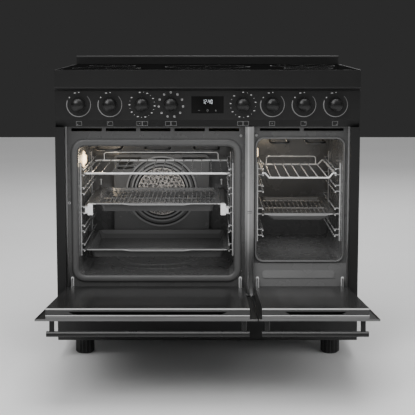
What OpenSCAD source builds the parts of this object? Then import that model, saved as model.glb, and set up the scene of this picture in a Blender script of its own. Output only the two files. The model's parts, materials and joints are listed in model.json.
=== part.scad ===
// Free-standing range cooker with an induction hob and two ovens, both doors open.
// X runs to the right, Y to the wall and Z up. The origin is on the floor, at the
// centre of the room that the cooker takes up with its doors open.

/* [Body] */
// Width of the cooker
body_w = 900; // [880:5:920]
// Depth from the wall to the front of the hob
body_d = 600; // [590:5:620]
// Height of the hob's glass above the floor
hob_z = 868; // [860:1:900]
// Thickness of the folded steel sheet
sheet_t = 2; // [1.5:0.25:2.5]
// Width of the post that each side panel forms beside the doors
post_w = 27; // [24:1:30]
// How far the enamelled oven fronts lie behind the hob's front
face_set = 33; // [31:1:38]
// Gap between the lower fascia's top edge and the height of the hinge pins
fascia_gap = 10; // [9:1:16]
// How far the back panel lies in from the wall
back_set = 14; // [13:1:20]

/* [Feet] */
// Height of a foot
foot_h = 57; // [50:1:65]
// Diameter of a foot
foot_d = 57; // [50:1:60]
// Distance of a foot's centre from the cooker's side
foot_in_x = 73; // [60:1:90]
// Distance of a foot's centre from the front and from the wall
foot_in_y = 75; // [60:1:90]

/* [Hob] */
// Height of the band round the hob
band_h = 55; // [45:1:65]
// Thickness of the glass
glass_t = 6; // [4:1:6]
// Border of the band that shows round the glass
glass_border = 4; // [3:1:8]
// Height of the upstand above the glass
upstand_h = 28; // [20:1:50]
// Thickness of the upstand
upstand_t = 16; // [12:1:24]
// How far the band's foot runs down behind its lip
band_foot = 6; // [5:1:9]
// Diameter of the two small cooking zones
small_zone_d = 150; // [140:5:160]
// Diameter of the two large cooking zones
large_zone_d = 210; // [200:5:220]
// Diameter of the middle cooking zone
middle_zone_d = 270; // [240:5:280]
// Distance of the outer zones' middles from the cooker's sides
zone_in = 140; // [130:1:150]

/* [Control panel] */
// Height of the control panel
panel_h = 113; // [100:1:120]
// Height of its lower strip, which leans back
panel_lip = 21; // [15:1:25]
// How far the panel lies behind the hob's front
panel_set = 8; // [4:1:12]
// How far the lower strip leans back
panel_lean = 9; // [4:1:12]
// Height of the knobs below the hob's glass
knob_drop = 102.5; // [98:0.5:106]
// Distances of the two outer left knobs from the cooker's left side
left_outer = [70, 162]; // [60:1:180]
// Distances of the two inner left knobs from the panel's middle
left_inner = [193, 108]; // [90:1:210]
// Distances of the two inner right knobs from the panel's middle
right_inner = [105, 191]; // [90:1:210]
// Distances of the two outer right knobs from the cooker's right side
right_outer = [166, 73]; // [60:1:180]
// Diameter of a knob's grip
knob_d = 38; // [34:1:40]
// Length of a knob
knob_l = 27; // [22:1:32]
// Diameter of a knob's stem
stem_d = 6; // [5:0.5:8]
// Width of the display
display_w = 95; // [85:1:105]
// Height of the display
display_h = 50; // [40:1:55]

/* [Ovens] */
// Distance of the main oven's mouth from the edges of its front
main_margin = 34.5; // [32:0.25:38]
// How far the main oven lies right of the middle of its front
main_off = 2; // [0:0.25:3]
// Distance of the main oven's floor above the hinge pins
main_floor = 53; // [51:1:60]
// Distance of the main oven's roof below the doors' top edges
main_roof = 36; // [32:1:44]
// Distance of the small oven's mouth from the edges of its front
aux_margin = 14.5; // [13:0.25:17]
// Distance of the small oven's floor above the hinge pins
aux_floor = 99; // [94:1:104]
// Distance of the small oven's roof below the doors' top edges
aux_roof = 15; // [13:1:24]
// How far the small oven lies left of the middle of its front
aux_off = 4; // [0:1:8]
// Depth of both cavities behind their fronts
cavity_d = 430; // [424:2:450]
// Corner radius of both mouths
mouth_r = 20; // [14:1:26]
// Distance of the main oven's seal from the edges of its front
main_seal_in = 10.75; // [8:0.25:16]
// Distance of the small oven's seal from the nearer edge of its front
aux_seal_in = 3.5; // [2:0.25:4.5]
// Thickness of the wool round a cavity
wool_t = 24; // [15:1:26]
// Diameter of a lamp's lens
lamp_d = 46; // [40:1:54]
// Height of the vent slots above the doors
vent_h = 9; // [6:1:10]
// Width of a vent slot
vent_w = 88; // [70:1:96]

/* [Doors] */
// Width of the small oven's door
aux_door_w = 312.5; // [305:0.5:316]
// Gap between the two doors
doors_gap = 4; // [3:1:6]
// Distance of the doors' outer edges from the cooker's sides
door_edge = 4; // [2:1:8]
// Gap between the doors' top edges and the control panel
door_top_gap = 24; // [20:1:26]
// Thickness of a door
door_t = 33; // [31:1:35]
// Gap between a closed door and the oven's front
door_gap = 8; // [6:1:9]
// Width of the bright strips beside the posts
trim_w = 4; // [3:0.5:5]
// Gap between a closed door's body and those strips
trim_gap = 1; // [1:0.25:2]
// Lap of the main door's outer panel on its other side
main_lap = 20.5; // [18:0.5:26]
// Lap of the small door's outer panel on its other side
aux_lap = 7.5; // [7:0.5:14]
// Depth of the outer panel's folded edge
hem = 5; // [4:0.5:6]
// Depth of the outer panel's folded top
top_fold = 15; // [12:1:17]
// Distance of the long slot in a door's top from the sides of its body
air_in = 58; // [40:1:80]
// Height of that slot
air_h = 7; // [5:0.5:8]
// Width of the door frame's channel
channel_w = 26; // [24:1:30]
// Thickness of the inner glass
inner_glass_t = 4; // [3:0.5:5]
// Thickness of the window's glass
window_t = 4; // [3:0.5:5]
// Distance of a door's window from the sides of its body
window_in = 48; // [44:1:60]
// Distance of a door's window from its top edge
window_top = 118; // [100:1:130]
// Distance of a door's window from its bottom edge
window_low = 72; // [60:1:90]
// How far the window's glass laps behind the panel
window_lap = 14; // [10:1:16]
// Height of the hinge pins
hinge_z = 197; // [195:1:200]
// Distance of a hinge from the side of the door's body
hinge_in = 10; // [9:0.5:14]
// Diameter of a hinge pin
pin_d = 6; // [5:0.5:7]
// How far the doors stand open
open_angle = 84; // [80:1:90]

/* [Handles] */
// Height of a handle's bar
bar_h = 16; // [14:1:20]
// Depth of a handle's bar
bar_t = 14; // [12:1:18]
// Clear gap between a handle's bar and the door
finger_gap = 29; // [25:1:34]
// Distance of the bar's middle from the door's top edge
bar_drop = 18; // [14:1:26]
// Width of a handle's bracket
bracket_w = 13; // [10:1:16]
// Distance of a bracket's middle from the bar's end
bracket_in = 14; // [10:1:20]

/* [Racks] */
// Wire of the side ladders' posts
post_wire = 5; // [4:0.5:6]
// Wire of the rungs
rung_wire = 4; // [3:0.5:4]
// Distance between a rung pair's wires
rung_gap = 18; // [17:1:20]
// Distance of the main oven's rungs from its wall
rung_in = 14; // [12:1:16]
// Distance of the small oven's rungs from its wall
aux_rung_in = 19; // [16:1:21]
// Height of the main oven's lowest rung above its floor
main_rung_z = 69; // [60:1:75]
// Distance of the main oven's highest rung from its roof
main_rung_top = 91; // [86:1:100]
// Heights of the small oven's two lower rungs above its floor
aux_low_rungs = [68, 133]; // [60:1:140]
// Distances of the small oven's two upper rungs from its roof
aux_top_rungs = [162, 111]; // [100:1:170]
// Distance of the ladders from the ovens' fronts
ladder_in = 20; // [18:1:24]
// Distance of the ladders from the fan's cover
ladder_back = 10; // [6:1:14]
// Distance of the racks from the ovens' fronts
rack_in = 28; // [26:1:34]
// Distance of the racks from the fan's cover
rack_back = 22; // [14:1:30]
// Wire of the shelves' frames
shelf_wire = 6; // [5:0.5:6]
// Wire of the shelves' bars
slat_wire = 3.5; // [3:0.5:4]
// Height of a shelf's back stop
stop_h = 27; // [20:1:30]
// Depth of the main oven's trays
tray_h = 26; // [20:1:32]
// Sheet of the trays
tray_t = 1.5; // [1:0.25:2]
// Width of a tray's rim
rim_w = 14; // [12:1:18]
// How far a tray's walls lean in
tray_lean = 9; // [6:1:14]
// How far the small tray's rounded belly curves in
belly = 34; // [24:1:40]
// How far a tray's front rim dips in the middle
rim_dip = 3; // [2:0.5:4]
// Width of the dip
dip_w = 165; // [120:5:180]
// Wire of the grids in the trays
grid_wire = 2.5; // [2:0.5:3]
// Distance between a grid's bars
grid_pitch = 14; // [12:1:20]
// Drop of the small oven's shelf between its sides
shelf_drop = 14; // [10:1:18]
// Distance between the small shelf's bars
slat_pitch = 28.4; // [24:0.2:32]
// Distance between the main shelf's bars
main_slat_pitch = 30; // [24:1:40]

/* [Telescopic runners] */
// Level that carries the runners
runner_level = 2; // [1:1:3]
// Height of the fixed rail
rail_h = 22; // [20:0.5:24]
// Depth of the fixed rail's channel
rail_w = 8; // [7:0.5:10]
// Sheet of the runners
runner_t = 1.5; // [1:0.25:1.75]
// Height of the plate at a slider's front
shoe_h = 34; // [30:1:36]
// Width of that plate, from the rail's back to the tray
shoe_w = 24; // [20:1:28]
// Height of the tray's ledge above the rail
ledge_lift = 7; // [5:1:10]
// Height of the peg at a slider's back
peg_h = 28; // [20:1:32]

/* [Fan] */
// Radius of the fan wheel
fan_r = 76; // [70:1:78]
// Depth of the fan's blades
blade_l = 18; // [12:1:19]
// Number of blades
blades = 16; // [10:1:20]
// Width of the fan's cover
cover_w = 318; // [300:2:330]
// Height of the fan's cover
cover_h = 268; // [256:2:280]
// How far the cover's middle lies below the cavity's
cover_low = 7; // [0:1:12]
// Height of the fan's shaft above the cover's middle
fan_up = 10; // [4:1:20]
// Depth of the space behind the cover
cover_d = 30; // [28:1:34]
// How much larger the grille's radius is than the fan wheel's
grille_more = 8; // [4:1:10]
// Distance of the pressed ring from the cover's top and bottom edges
ring_in = 14; // [10:1:18]
// Diameter of a hole in the grille
hole_d = 7; // [5:0.5:8]
// Distance between the grille's holes
hole_pitch = 14; // [12:1:16]

/* [Clearances] */
// Gap between pieces that slide or turn past each other
slide_gap = 0.3; // [0.2:0.05:0.4]
// Extra diameter of a bore that a pin or shaft turns in
bore_fit = 0.1; // [0.06:0.02:0.16]
// Gap between a closed door's body and the strips beside it
side_gap = 3; // [2:0.5:3.5]
// Gap between the seal and a closed door
seal_gap = 0.4; // [0.3:0.1:0.8]

/* [Hidden] */
$fn = 48;
eps = 0.5;

band_z = hob_z - band_h;
panel_z = band_z - panel_h;
knob_z = hob_z - knob_drop;
side_x = body_w / 2;
knob_x = [for (x = left_outer) -side_x + x, for (x = left_inner) -x,
          for (x = right_inner) x, for (x = right_outer) side_x - x];

// depth: the doors' reach in front sets where the middle of the floor space is
door_top = panel_z - door_top_gap;
door_z = hinge_z + 1;
fascia_top = hinge_z - fascia_gap;
door_proud = door_t + door_gap - face_set;
reach = (door_top - hinge_z) * sin(open_angle) + door_proud * cos(open_angle);
back_y = (body_d + reach) / 2;
front_y = back_y - body_d;
face_y = front_y + face_set;
cavity_y = face_y + sheet_t;
cavity_back = face_y + cavity_d;
panel_y = front_y + panel_set;
back_panel_y = back_y - back_set;
hinge_y = front_y;

// doors and the fronts behind them: [left edge, right edge]
post_x = side_x - post_w;
aux_panel_x = [side_x - door_edge - aux_door_w, side_x - door_edge];
main_panel_x = [-side_x + door_edge, aux_panel_x[0] - doors_gap];
body_edge = post_x - trim_w - trim_gap;
main_body_x = [-body_edge, main_panel_x[1] - main_lap];
aux_body_x = [aux_panel_x[0] + aux_lap, body_edge];
mullion_x = [main_body_x[1] + side_gap, aux_body_x[0] - side_gap];
main_front_x = [-post_x, mullion_x[0]];
aux_front_x = [mullion_x[1], post_x];
inside_x = side_x - sheet_t;
main_hinges = [main_body_x[0] + hinge_in, main_body_x[1] - hinge_in];
aux_hinges = [aux_body_x[0] + hinge_in, aux_body_x[1] - hinge_in];
outer_y = front_y - door_proud;
inner_y = outer_y + door_t;

// ovens: [middle in X, floor, width, height, seal width]
lip = 1;
main_x = (main_front_x[0] + main_front_x[1]) / 2 + main_off;
main_z = hinge_z + main_floor;
main_w = main_front_x[1] - main_front_x[0] - 2 * main_margin;
main_h = door_top - main_roof - main_z;
aux_x = (aux_front_x[0] + aux_front_x[1]) / 2 - aux_off;
aux_z = hinge_z + aux_floor;
aux_w = aux_front_x[1] - aux_front_x[0] - 2 * aux_margin;
aux_h = door_top - aux_roof - aux_z;
main_oven = [main_x, main_z, main_w, main_h, main_margin - main_off - lip - main_seal_in];
aux_oven = [aux_x, aux_z, aux_w, aux_h, aux_margin - aux_off - lip - aux_seal_in];
lamp_in = 150;
lamp_drop = 55;
seal_t = door_gap - seal_gap;
vent_z = door_top + 9;

// height of the floor pan's edges
pan_h = 30;

// flat steps of the small tray's belly, each pressed with a short upright edge
belly_steps = 3;
edge_t = 0.2;

// hinges
arm_t = 4;
leaf_t = 3;
leaf_r = 6;
plate_z = [hinge_z + 11, main_z - 6];
slot_w = arm_t + 2 * (slide_gap + leaf_t);
slot_top = plate_z[1] + 8;

// racks and the ladders that carry them
rack_y = face_y + rack_in;
rack_l = cavity_d - cover_d - rack_in - rack_back;
ladder_y = face_y + ladder_in;
ladder_l = cavity_d - cover_d - ladder_in - ladder_back;
main_pitch = (main_h - main_rung_z - main_rung_top) / 4;
main_rungs = [for (i = [0:4]) main_z + main_rung_z + main_pitch * i];
aux_rungs = [for (z = aux_low_rungs) aux_z + z, for (z = aux_top_rungs) aux_z + aux_h - z];
crank_out = 6;
crank_in = 19;
grid_drop = 8;
rung_top = rung_wire / 2 + slide_gap;
main_rack_w = main_w - 2 * rung_in + rung_wire + 2;
aux_rack_w = aux_w - 2 * aux_rung_in + rung_wire + 2;
shelf_z = main_rungs[4] + rung_top + shelf_wire / 2;
aux_shelf_z = aux_rungs[3] + rung_top + shelf_wire / 2;
lower_tray_z = main_rungs[0] + rung_top;
aux_tray_z = aux_rungs[1] + rung_top;

// telescopic runners, in from the rungs of their level
rail_z = main_rungs[runner_level] + rung_gap / 2;
rail_x = main_w / 2 - rung_in - rung_wire / 2;
step_t = runner_t + slide_gap;
slider_h = rail_h - 4 * step_t;
slider_x = rail_x - rail_w - step_t - slide_gap;
ledge_z = rail_z + rail_h / 2 + ledge_lift;
upper_tray_z = ledge_z + runner_t;
upper_tray_w = 2 * (rail_x - shoe_w);
runner_l = rack_l;

// fan
fan_x = main_x;
cover_z = main_z + (main_h - cover_h) / 2 - cover_low;
fan_z = cover_z + cover_h / 2 + fan_up;
grille_r = fan_r + grille_more;
ring_r = cover_h / 2 - ring_in;
cover_y = cavity_back - cover_d;
shaft_d = 6;
motor_l = 40;

// feet and places shared by what stands on them
foot_y = [front_y + foot_in_y, back_y - foot_in_y];
feet_at = [for (side = [-1, 1], y = foot_y) [side * (side_x - foot_in_x), y]];
gland_in = 130;
gland_up = 75;
gland_at = [side_x - gland_in, foot_h + gland_up];
switch_w = 30;
switch_d = 24;
stem_l = 20;
gland_d = 22;
gland_bore = 12;
bracket_hole_d = 5;
bracket_holes = 60;
bracket_z = panel_z + 60;
coil_z = hob_z - glass_t - 12;

// cooking zones: [middle in X, distance from the front, diameter]
zone_x = side_x - zone_in;
zones = [[-zone_x, 165, large_zone_d], [-zone_x, 390, small_zone_d], [0, 290, middle_zone_d],
         [zone_x, 165, small_zone_d], [zone_x, 390, large_zone_d]];

// ---- shapes that several pieces share ----

// Outline with rounded corners, centred
module rounded_rect(w, h, r) {
    square([w - 2 * r, h], center = true);
    square([w, h - 2 * r], center = true);
    for (x = [-1, 1], y = [-1, 1]) translate([x * (w / 2 - r), y * (h / 2 - r)]) circle(r = r);
}

// Box between two corners
module block(low, high) {
    translate(low) cube(high - low);
}

// Outline in X and Z, solid from y0 to y1
module along_y(y0, y1) {
    translate([0, y1, 0]) rotate([90, 0, 0]) linear_extrude(y1 - y0) children();
}

// Outline in Y and Z, solid from x0 to x1
module along_x(x0, x1) {
    translate([x0, 0, 0]) rotate([90, 0, 90]) linear_extrude(x1 - x0) children();
}

// Straight rod between two points
module rod(from, to, d) {
    v = to - from;
    translate(from) rotate([0, acos(v.z / norm(v)), atan2(v.y, v.x)]) cylinder(h = norm(v), d = d);
}

// Profile swept round a rounded rectangle: its x points outwards and its y up
module swept_loop(w, h, r) {
    for (turn = [0:3]) {
        across = turn % 2 == 0 ? w : h;
        length = turn % 2 == 0 ? h : w;
        rotate([0, 0, 90 * turn]) {
            translate([across / 2, length / 2 - r, 0])
                rotate([90, 0, 0]) linear_extrude(length - 2 * r) children();
            translate([across / 2 - r, length / 2 - r, 0])
                rotate_extrude(angle = 90) translate([r, 0]) children();
        }
    }
}

// Both sides of an oven: the children are drawn on its right, from its middle
module both_sides(oven) {
    for (side = [0, 1]) translate([oven[0], 0, 0]) mirror([side, 0, 0]) children();
}

// The mouth of an oven in X and Z, grown by a margin
module mouth(oven, grow = 0) {
    translate([oven[0], oven[1] + oven[3] / 2])
        rounded_rect(oven[2] + 2 * grow, oven[3] + 2 * grow, mouth_r + grow);
}

// A closed door's piece, swung open on its hinges
module opened() {
    translate([0, hinge_y, hinge_z]) rotate([open_angle, 0, 0]) translate([0, -hinge_y, -hinge_z])
        children();
}

// ---- body ----

// Floor pan with upturned edges and a boss over each foot
module base_frame() color("gray") {
    x = inside_x;
    y = [front_y + sheet_t, back_panel_y];
    difference() {
        block([-x, y[0], foot_h], [x, y[1], foot_h + pan_h]);
        block([-x + sheet_t, y[0] + sheet_t, foot_h + sheet_t],
              [x - sheet_t, y[1] - sheet_t, foot_h + pan_h + 1]);
    }
    for (at = feet_at) translate([at.x, at.y, foot_h + sheet_t - eps]) cylinder(d = 30, h = 14);
}

// Round levelling feet, chamfered where they meet the floor, with a grooved grip to turn them by
module feet() color("black") {
    chamfer = 5;
    grooves = 20;
    for (at = feet_at) translate(at) difference() {
        union() {
            cylinder(d1 = foot_d - 2 * chamfer, d2 = foot_d, h = chamfer);
            translate([0, 0, chamfer]) cylinder(d = foot_d, h = foot_h - chamfer);
        }
        for (i = [0:grooves - 1]) rotate([0, 0, 360 * i / grooves])
            translate([foot_d / 2 + 0.5, 0, chamfer + 2]) cylinder(d = 4, h = foot_h * 0.6, $fn = 24);
    }
}

// Side sheets, folded at the front into the posts beside the doors
module side_panels() color("dimgray") {
    pan_top = foot_h + pan_h;
    for (side = [0, 1]) mirror([side, 0, 0]) {
        block([inside_x, front_y, foot_h], [side_x, back_y, panel_z]);
        block([inside_x, panel_y, panel_z - eps], [side_x, back_y, band_z - band_foot]);
        block([inside_x, panel_y + sheet_t, band_z - band_foot - eps], [side_x, back_y, band_z]);
        block([side_x - 20, back_y - sheet_t, foot_h], [side_x, back_y, band_z]);
        block([post_x, front_y, foot_h], [side_x, front_y + sheet_t, panel_z]);
        block([post_x, front_y, pan_top], [post_x + sheet_t, face_y, panel_z]);
    }
}

// Back sheet with two rows of air slots, the cable's hole and the safety bracket's holes
module back_panel() color("silver") {
    slot = [60, 6];
    difference() {
        block([-inside_x, back_panel_y, foot_h], [inside_x, back_panel_y + sheet_t, band_z]);
        along_y(back_panel_y - 1, back_panel_y + sheet_t + 1) {
            for (i = [-3.5:3.5], row = [0, 1]) translate([i * 1.5 * slot.x, panel_z + row * 16])
                rounded_rect(slot.x, slot.y, slot.y / 2 - 0.1);
            translate(gland_at) circle(d = gland_d);
            for (x = [-1, 1]) translate([x * bracket_holes / 2, bracket_z]) circle(d = bracket_hole_d);
        }
    }
}

// Bush that the supply cable passes through
module cable_gland() color("black") {
    collar = 8;
    translate([gland_at.x, back_panel_y - collar, gland_at.y]) rotate([-90, 0, 0]) difference() {
        union() {
            cylinder(d = gland_d, h = 2 * collar + sheet_t);
            translate([0, 0, collar + sheet_t]) cylinder(d = gland_d + 8, h = collar - 3);
        }
        translate([0, 0, -1]) cylinder(d = gland_bore, h = 2 * collar + sheet_t + 2);
    }
}

// Plain panel below the doors, folded back along its top and bottom
module lower_fascia() color("dimgray") {
    block([-side_x, front_y - sheet_t, foot_h], [side_x, front_y, fascia_top]);
    block([-post_x, front_y - eps, fascia_top - sheet_t], [post_x, cavity_y, fascia_top]);
}

// ---- hob ----

// Skirt and ledge that hold the glass
module hob_frame() color("dimgray") {
    top = hob_z - glass_t;
    difference() {
        block([-side_x, front_y + sheet_t, band_z], [side_x, back_y, top]);
        block([-side_x + sheet_t, front_y, band_z - 1], [side_x - sheet_t, back_y - sheet_t, top - sheet_t]);
        block([-side_x + 30, front_y + 30, top - 5], [side_x - 30, back_y - 50, top + 1]);
    }
    for (side = [-1, 1]) translate([side * (side_x - glass_border / 2), 0, 0])
        block([-glass_border / 2, front_y + glass_border, top - eps],
              [glass_border / 2, back_y - upstand_t, hob_z]);
}

// Glass ceramic plate with a bevelled front
module hob_glass() color([0.05, 0.05, 0.06]) {
    bevel = 2;
    y = [front_y + glass_border, back_y - upstand_t];
    along_x(-side_x + glass_border, side_x - glass_border)
        polygon([[y[0], hob_z - glass_t], [y[1], hob_z - glass_t], [y[1], hob_z],
                 [y[0] + bevel, hob_z], [y[0], hob_z - bevel]]);
}

// Flat coils under the cooking zones
module induction_coils() color("peru") {
    for (zone = zones) translate([zone[0], front_y + zone[1], coil_z]) difference() {
        cylinder(d = zone[2] - 10, h = 8);
        translate([0, 0, -1]) cylinder(d = 40, h = 10);
    }
}

// Aluminium tray that carries the coils, with an air gap under it
module coil_tray() color("silver") {
    block([-inside_x, front_y + 12, coil_z - sheet_t], [inside_x, back_y - upstand_t, coil_z]);
}

// Upstand along the wall, rounded along its front edge
module upstand() color("dimgray") {
    r = 5;
    z = hob_z + upstand_h;
    along_x(-side_x, side_x) {
        translate([back_y - upstand_t, hob_z - glass_t]) square([upstand_t, glass_t + upstand_h - r]);
        translate([back_y - upstand_t + r, z - r]) circle(r = r);
        translate([back_y - upstand_t + r, z - 2 * r]) square([upstand_t - r, 2 * r]);
    }
}

// Folded band along the hob's front: its foot is chamfered back to the control panel
module front_band() color("dimgray") {
    along_x(-side_x, side_x)
        polygon([[front_y, hob_z], [front_y + glass_border, hob_z], [front_y + glass_border, hob_z - glass_t],
                 [front_y + sheet_t, hob_z - glass_t], [front_y + sheet_t, band_z],
                 [panel_y + sheet_t, band_z - band_foot + 1], [panel_y + sheet_t, band_z - band_foot],
                 [panel_y, band_z - band_foot], [front_y - 1, band_z], [front_y - 1, band_z + 4],
                 [front_y, band_z + 5]]);
}

// ---- controls ----

// Side view of the control panel's sheet
module panel_profile() {
    z = band_z - band_foot;
    bend = panel_z + panel_lip;
    polygon([[panel_y, z], [panel_y, bend], [panel_y + panel_lean, panel_z],
             [face_y, panel_z], [face_y, panel_z + sheet_t],
             [panel_y + panel_lean + sheet_t, panel_z + sheet_t],
             [panel_y + sheet_t, bend + 1], [panel_y + sheet_t, z]]);
}

// Folded sheet with the knobs' holes and the display's window
module control_panel() color("dimgray") {
    difference() {
        union() {
            along_x(-inside_x, inside_x) panel_profile();
            for (side = [0, 1]) mirror([side, 0, 0])
                block([inside_x - sheet_t, panel_y, panel_z + panel_lip],
                      [inside_x, face_y, band_z - band_foot]);
        }
        along_y(panel_y - 1, panel_y + sheet_t + 1) {
            for (x = knob_x) translate([x, knob_z]) circle(d = stem_d + 3);
            translate([0, knob_z]) square([display_w, display_h], center = true);
        }
    }
}

// Dark window of the clock
module display() color("black") {
    along_y(panel_y - 0.6, panel_y + sheet_t) translate([0, knob_z])
        square([display_w, display_h], center = true);
}

// Rotary switches behind the knobs and the clock's housing behind its window
module switches() color("white") {
    difference() {
        for (x = knob_x) translate([x, panel_y + sheet_t, knob_z])
            block([-switch_w / 2, 0, -switch_w / 2], [switch_w / 2, switch_d, switch_w / 2]);
        for (x = knob_x) translate([x, panel_y, knob_z]) rotate([-90, 0, 0])
            cylinder(d = stem_d + bore_fit, h = stem_l + 2);
    }
    block([-display_w / 2 - 6, panel_y + sheet_t, knob_z - display_h / 2 - 5],
          [display_w / 2 + 6, panel_y + sheet_t + switch_d - 2, knob_z + display_h / 2 + 5]);
}

// Turned knob with a skirt, a domed front, a pointer and its stem
module knob(x) color([0.12, 0.12, 0.12]) {
    r = knob_d / 2;
    translate([x, panel_y - 1, knob_z]) rotate([90, 0, 0]) {
        rotate_extrude() {
            square([r + 1.5, 3]);
            square([r, knob_l - 5]);
            square([r - 5, knob_l]);
            translate([r - 5, knob_l - 5]) circle(r = 5);
        }
        translate([-1, r - 6, knob_l - 6]) cube([2, 7, 6.6]);
        translate([0, 0, -stem_l]) cylinder(d = stem_d, h = stem_l + 1);
    }
}

// ---- ovens ----

// Enamelled front: a plate round an oven's mouth with air slots above
module oven_front(oven, x, edges) {
    bridge = 12;
    room = x[1] - x[0] - 2 * bridge;
    count = floor(room / (vent_w + bridge));
    pitch = room / count;
    difference() {
        block([edges[0], face_y, fascia_top], [edges[1], cavity_y, panel_z]);
        along_y(face_y - 1, cavity_y + 1) {
            mouth(oven);
            for (i = [0:count - 1]) translate([x[0] + bridge + pitch * (i + 0.5), vent_z + vent_h / 2])
                square([pitch - bridge, vent_h], center = true);
        }
    }
}

module main_front() color("slategray") oven_front(main_oven, main_front_x, [-inside_x, mullion_x[0]]);

// The small oven's front also has a pressed field under its mouth
module aux_front() color("slategray") {
    press = 1.5;
    z = [hinge_z + 42, hinge_z + 66];
    oven_front(aux_oven, aux_front_x, [mullion_x[1], inside_x]);
    along_y(face_y - press, face_y + eps) translate([aux_x, (z[0] + z[1]) / 2])
        difference() {
            rounded_rect(aux_w - 36, z[1] - z[0], 6);
            rounded_rect(aux_w - 44, z[1] - z[0] - 8, 3);
        }
}

// Bright strips: the post between the ovens and the narrow edges beside the side posts
module front_trims() color("silver") {
    middle = (mullion_x[0] + mullion_x[1]) / 2;
    w = mullion_x[1] - mullion_x[0];
    z = [fascia_top, panel_z];
    block([middle - w / 2, front_y + 16, z[0]], [middle + w / 2, cavity_y, z[1]]);
    block([middle - w / 2 + 6, front_y + 8, z[0]], [middle + w / 2 - 6, front_y + 16 + eps, z[1]]);
    for (side = [0, 1]) mirror([side, 0, 0])
        block([post_x - trim_w, face_y - 6, z[0]], [post_x, face_y, z[1]]);
}

// Enamelled box behind an oven's front, with the lamp's hole in its left wall
module cavity(oven) {
    difference() {
        along_y(cavity_y, cavity_back) mouth(oven, sheet_t);
        along_y(cavity_y - 1, cavity_back - sheet_t) mouth(oven);
        lamp_at(oven) cylinder(d = lamp_d, h = 40, center = true);
    }
}

// A lamp's place in an oven's left wall, its axis along X
module lamp_at(oven) {
    translate([oven[0] - oven[2] / 2, face_y + lamp_in, oven[1] + oven[3] - lamp_drop])
        rotate([0, 90, 0]) children();
}

// The main cavity has a pressed ring in its floor, and holes for the fan's shaft
module main_cavity() color("gray") {
    r = 130;
    difference() {
        cavity(main_oven);
        along_y(cavity_back - sheet_t - 1, cavity_back + 1) translate([fan_x, fan_z]) circle(d = shaft_d + 6);
    }
    translate([main_x, face_y + cavity_d / 2, main_z - eps]) difference() {
        cylinder(r = r, h = 1 + eps);
        translate([0, 0, -1]) cylinder(r = r - 8, h = 4);
    }
}

module aux_cavity() color("gray") cavity(aux_oven);

// Rounded seal round an oven's mouth
module gasket(oven) {
    w = oven[4];
    grow = w / 2 + lip;
    edge = 3;
    translate([oven[0], face_y, oven[1] + oven[3] / 2]) rotate([90, 0, 0])
        swept_loop(oven[2] + 2 * grow, oven[3] + 2 * grow, mouth_r + grow) {
            translate([-w / 2, 0]) square([w, seal_t - edge]);
            translate([-w / 2 + edge, 0]) square([w - 2 * edge, seal_t]);
            for (x = [-1, 1]) translate([x * (w / 2 - edge), seal_t - edge]) circle(r = edge);
        }
}

module main_gasket() color([0.2, 0.2, 0.2]) gasket(main_oven);

module aux_gasket() color([0.2, 0.2, 0.2]) gasket(aux_oven);

// Mineral wool round both cavities
module insulation() color("khaki") {
    for (oven = [main_oven, aux_oven]) difference() {
        along_y(cavity_y, cavity_back + wool_t) translate([oven[0], oven[1] + oven[3] / 2])
            square([oven[2] + 2 * (sheet_t + wool_t), oven[3] + 2 * (sheet_t + wool_t)], center = true);
        along_y(cavity_y - 1, cavity_back) mouth(oven, sheet_t);
        lamp_at(oven) translate([0, 0, -30]) cylinder(d = lamp_d + 14, h = 30);
        along_y(cavity_back - 1, cavity_back + wool_t + 1) translate([fan_x, fan_z]) circle(r = 34);
    }
}

// Lenses of the oven lamps with the sockets behind them
module oven_lamps() color("lightyellow") {
    for (oven = [main_oven, aux_oven]) lamp_at(oven) {
        translate([0, 0, -sheet_t - 16]) cylinder(d = lamp_d - 0.4, h = sheet_t + 16);
        cylinder(d1 = lamp_d + 6, d2 = lamp_d, h = 3);
        cylinder(d1 = lamp_d - 8, d2 = lamp_d - 22, h = 9);
    }
}

// Heating tubes under the ovens' roofs, each hung from two clips at the front
module grill_element(oven, bends) {
    d = 6.5;
    z = oven[1] + oven[3] - 18;
    pitch = (oven[2] - 90) / bends;
    y = [face_y + 60, cavity_back - sheet_t];
    translate([oven[0], 0, 0]) {
        for (i = [0:bends]) translate([(i - bends / 2) * pitch, 0, 0]) {
            rod([0, y[0] + pitch / 2, z], [0, i == 0 || i == bends ? y[1] : y[1] - 50, z], d);
        }
        for (i = [0:bends - 1]) {
            front = i % 2 == 0;
            translate([(i - bends / 2 + 0.5) * pitch, front ? y[0] + pitch / 2 : y[1] - 50, z])
                rotate([0, 0, front ? 180 : 0]) rotate_extrude(angle = 180)
                    translate([pitch / 2, 0]) circle(d = d - 0.4);
        }
        for (x = [-1, 1]) translate([x * pitch / 2, y[0] + pitch / 2 + 8, 0])
            block([-5, 0, z - d], [5, 1.5, oven[1] + oven[3]]);
    }
}

module grill_elements() color("dimgray") {
    grill_element(main_oven, 5);
    grill_element(aux_oven, 3);
}

// ---- fan ----

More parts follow.
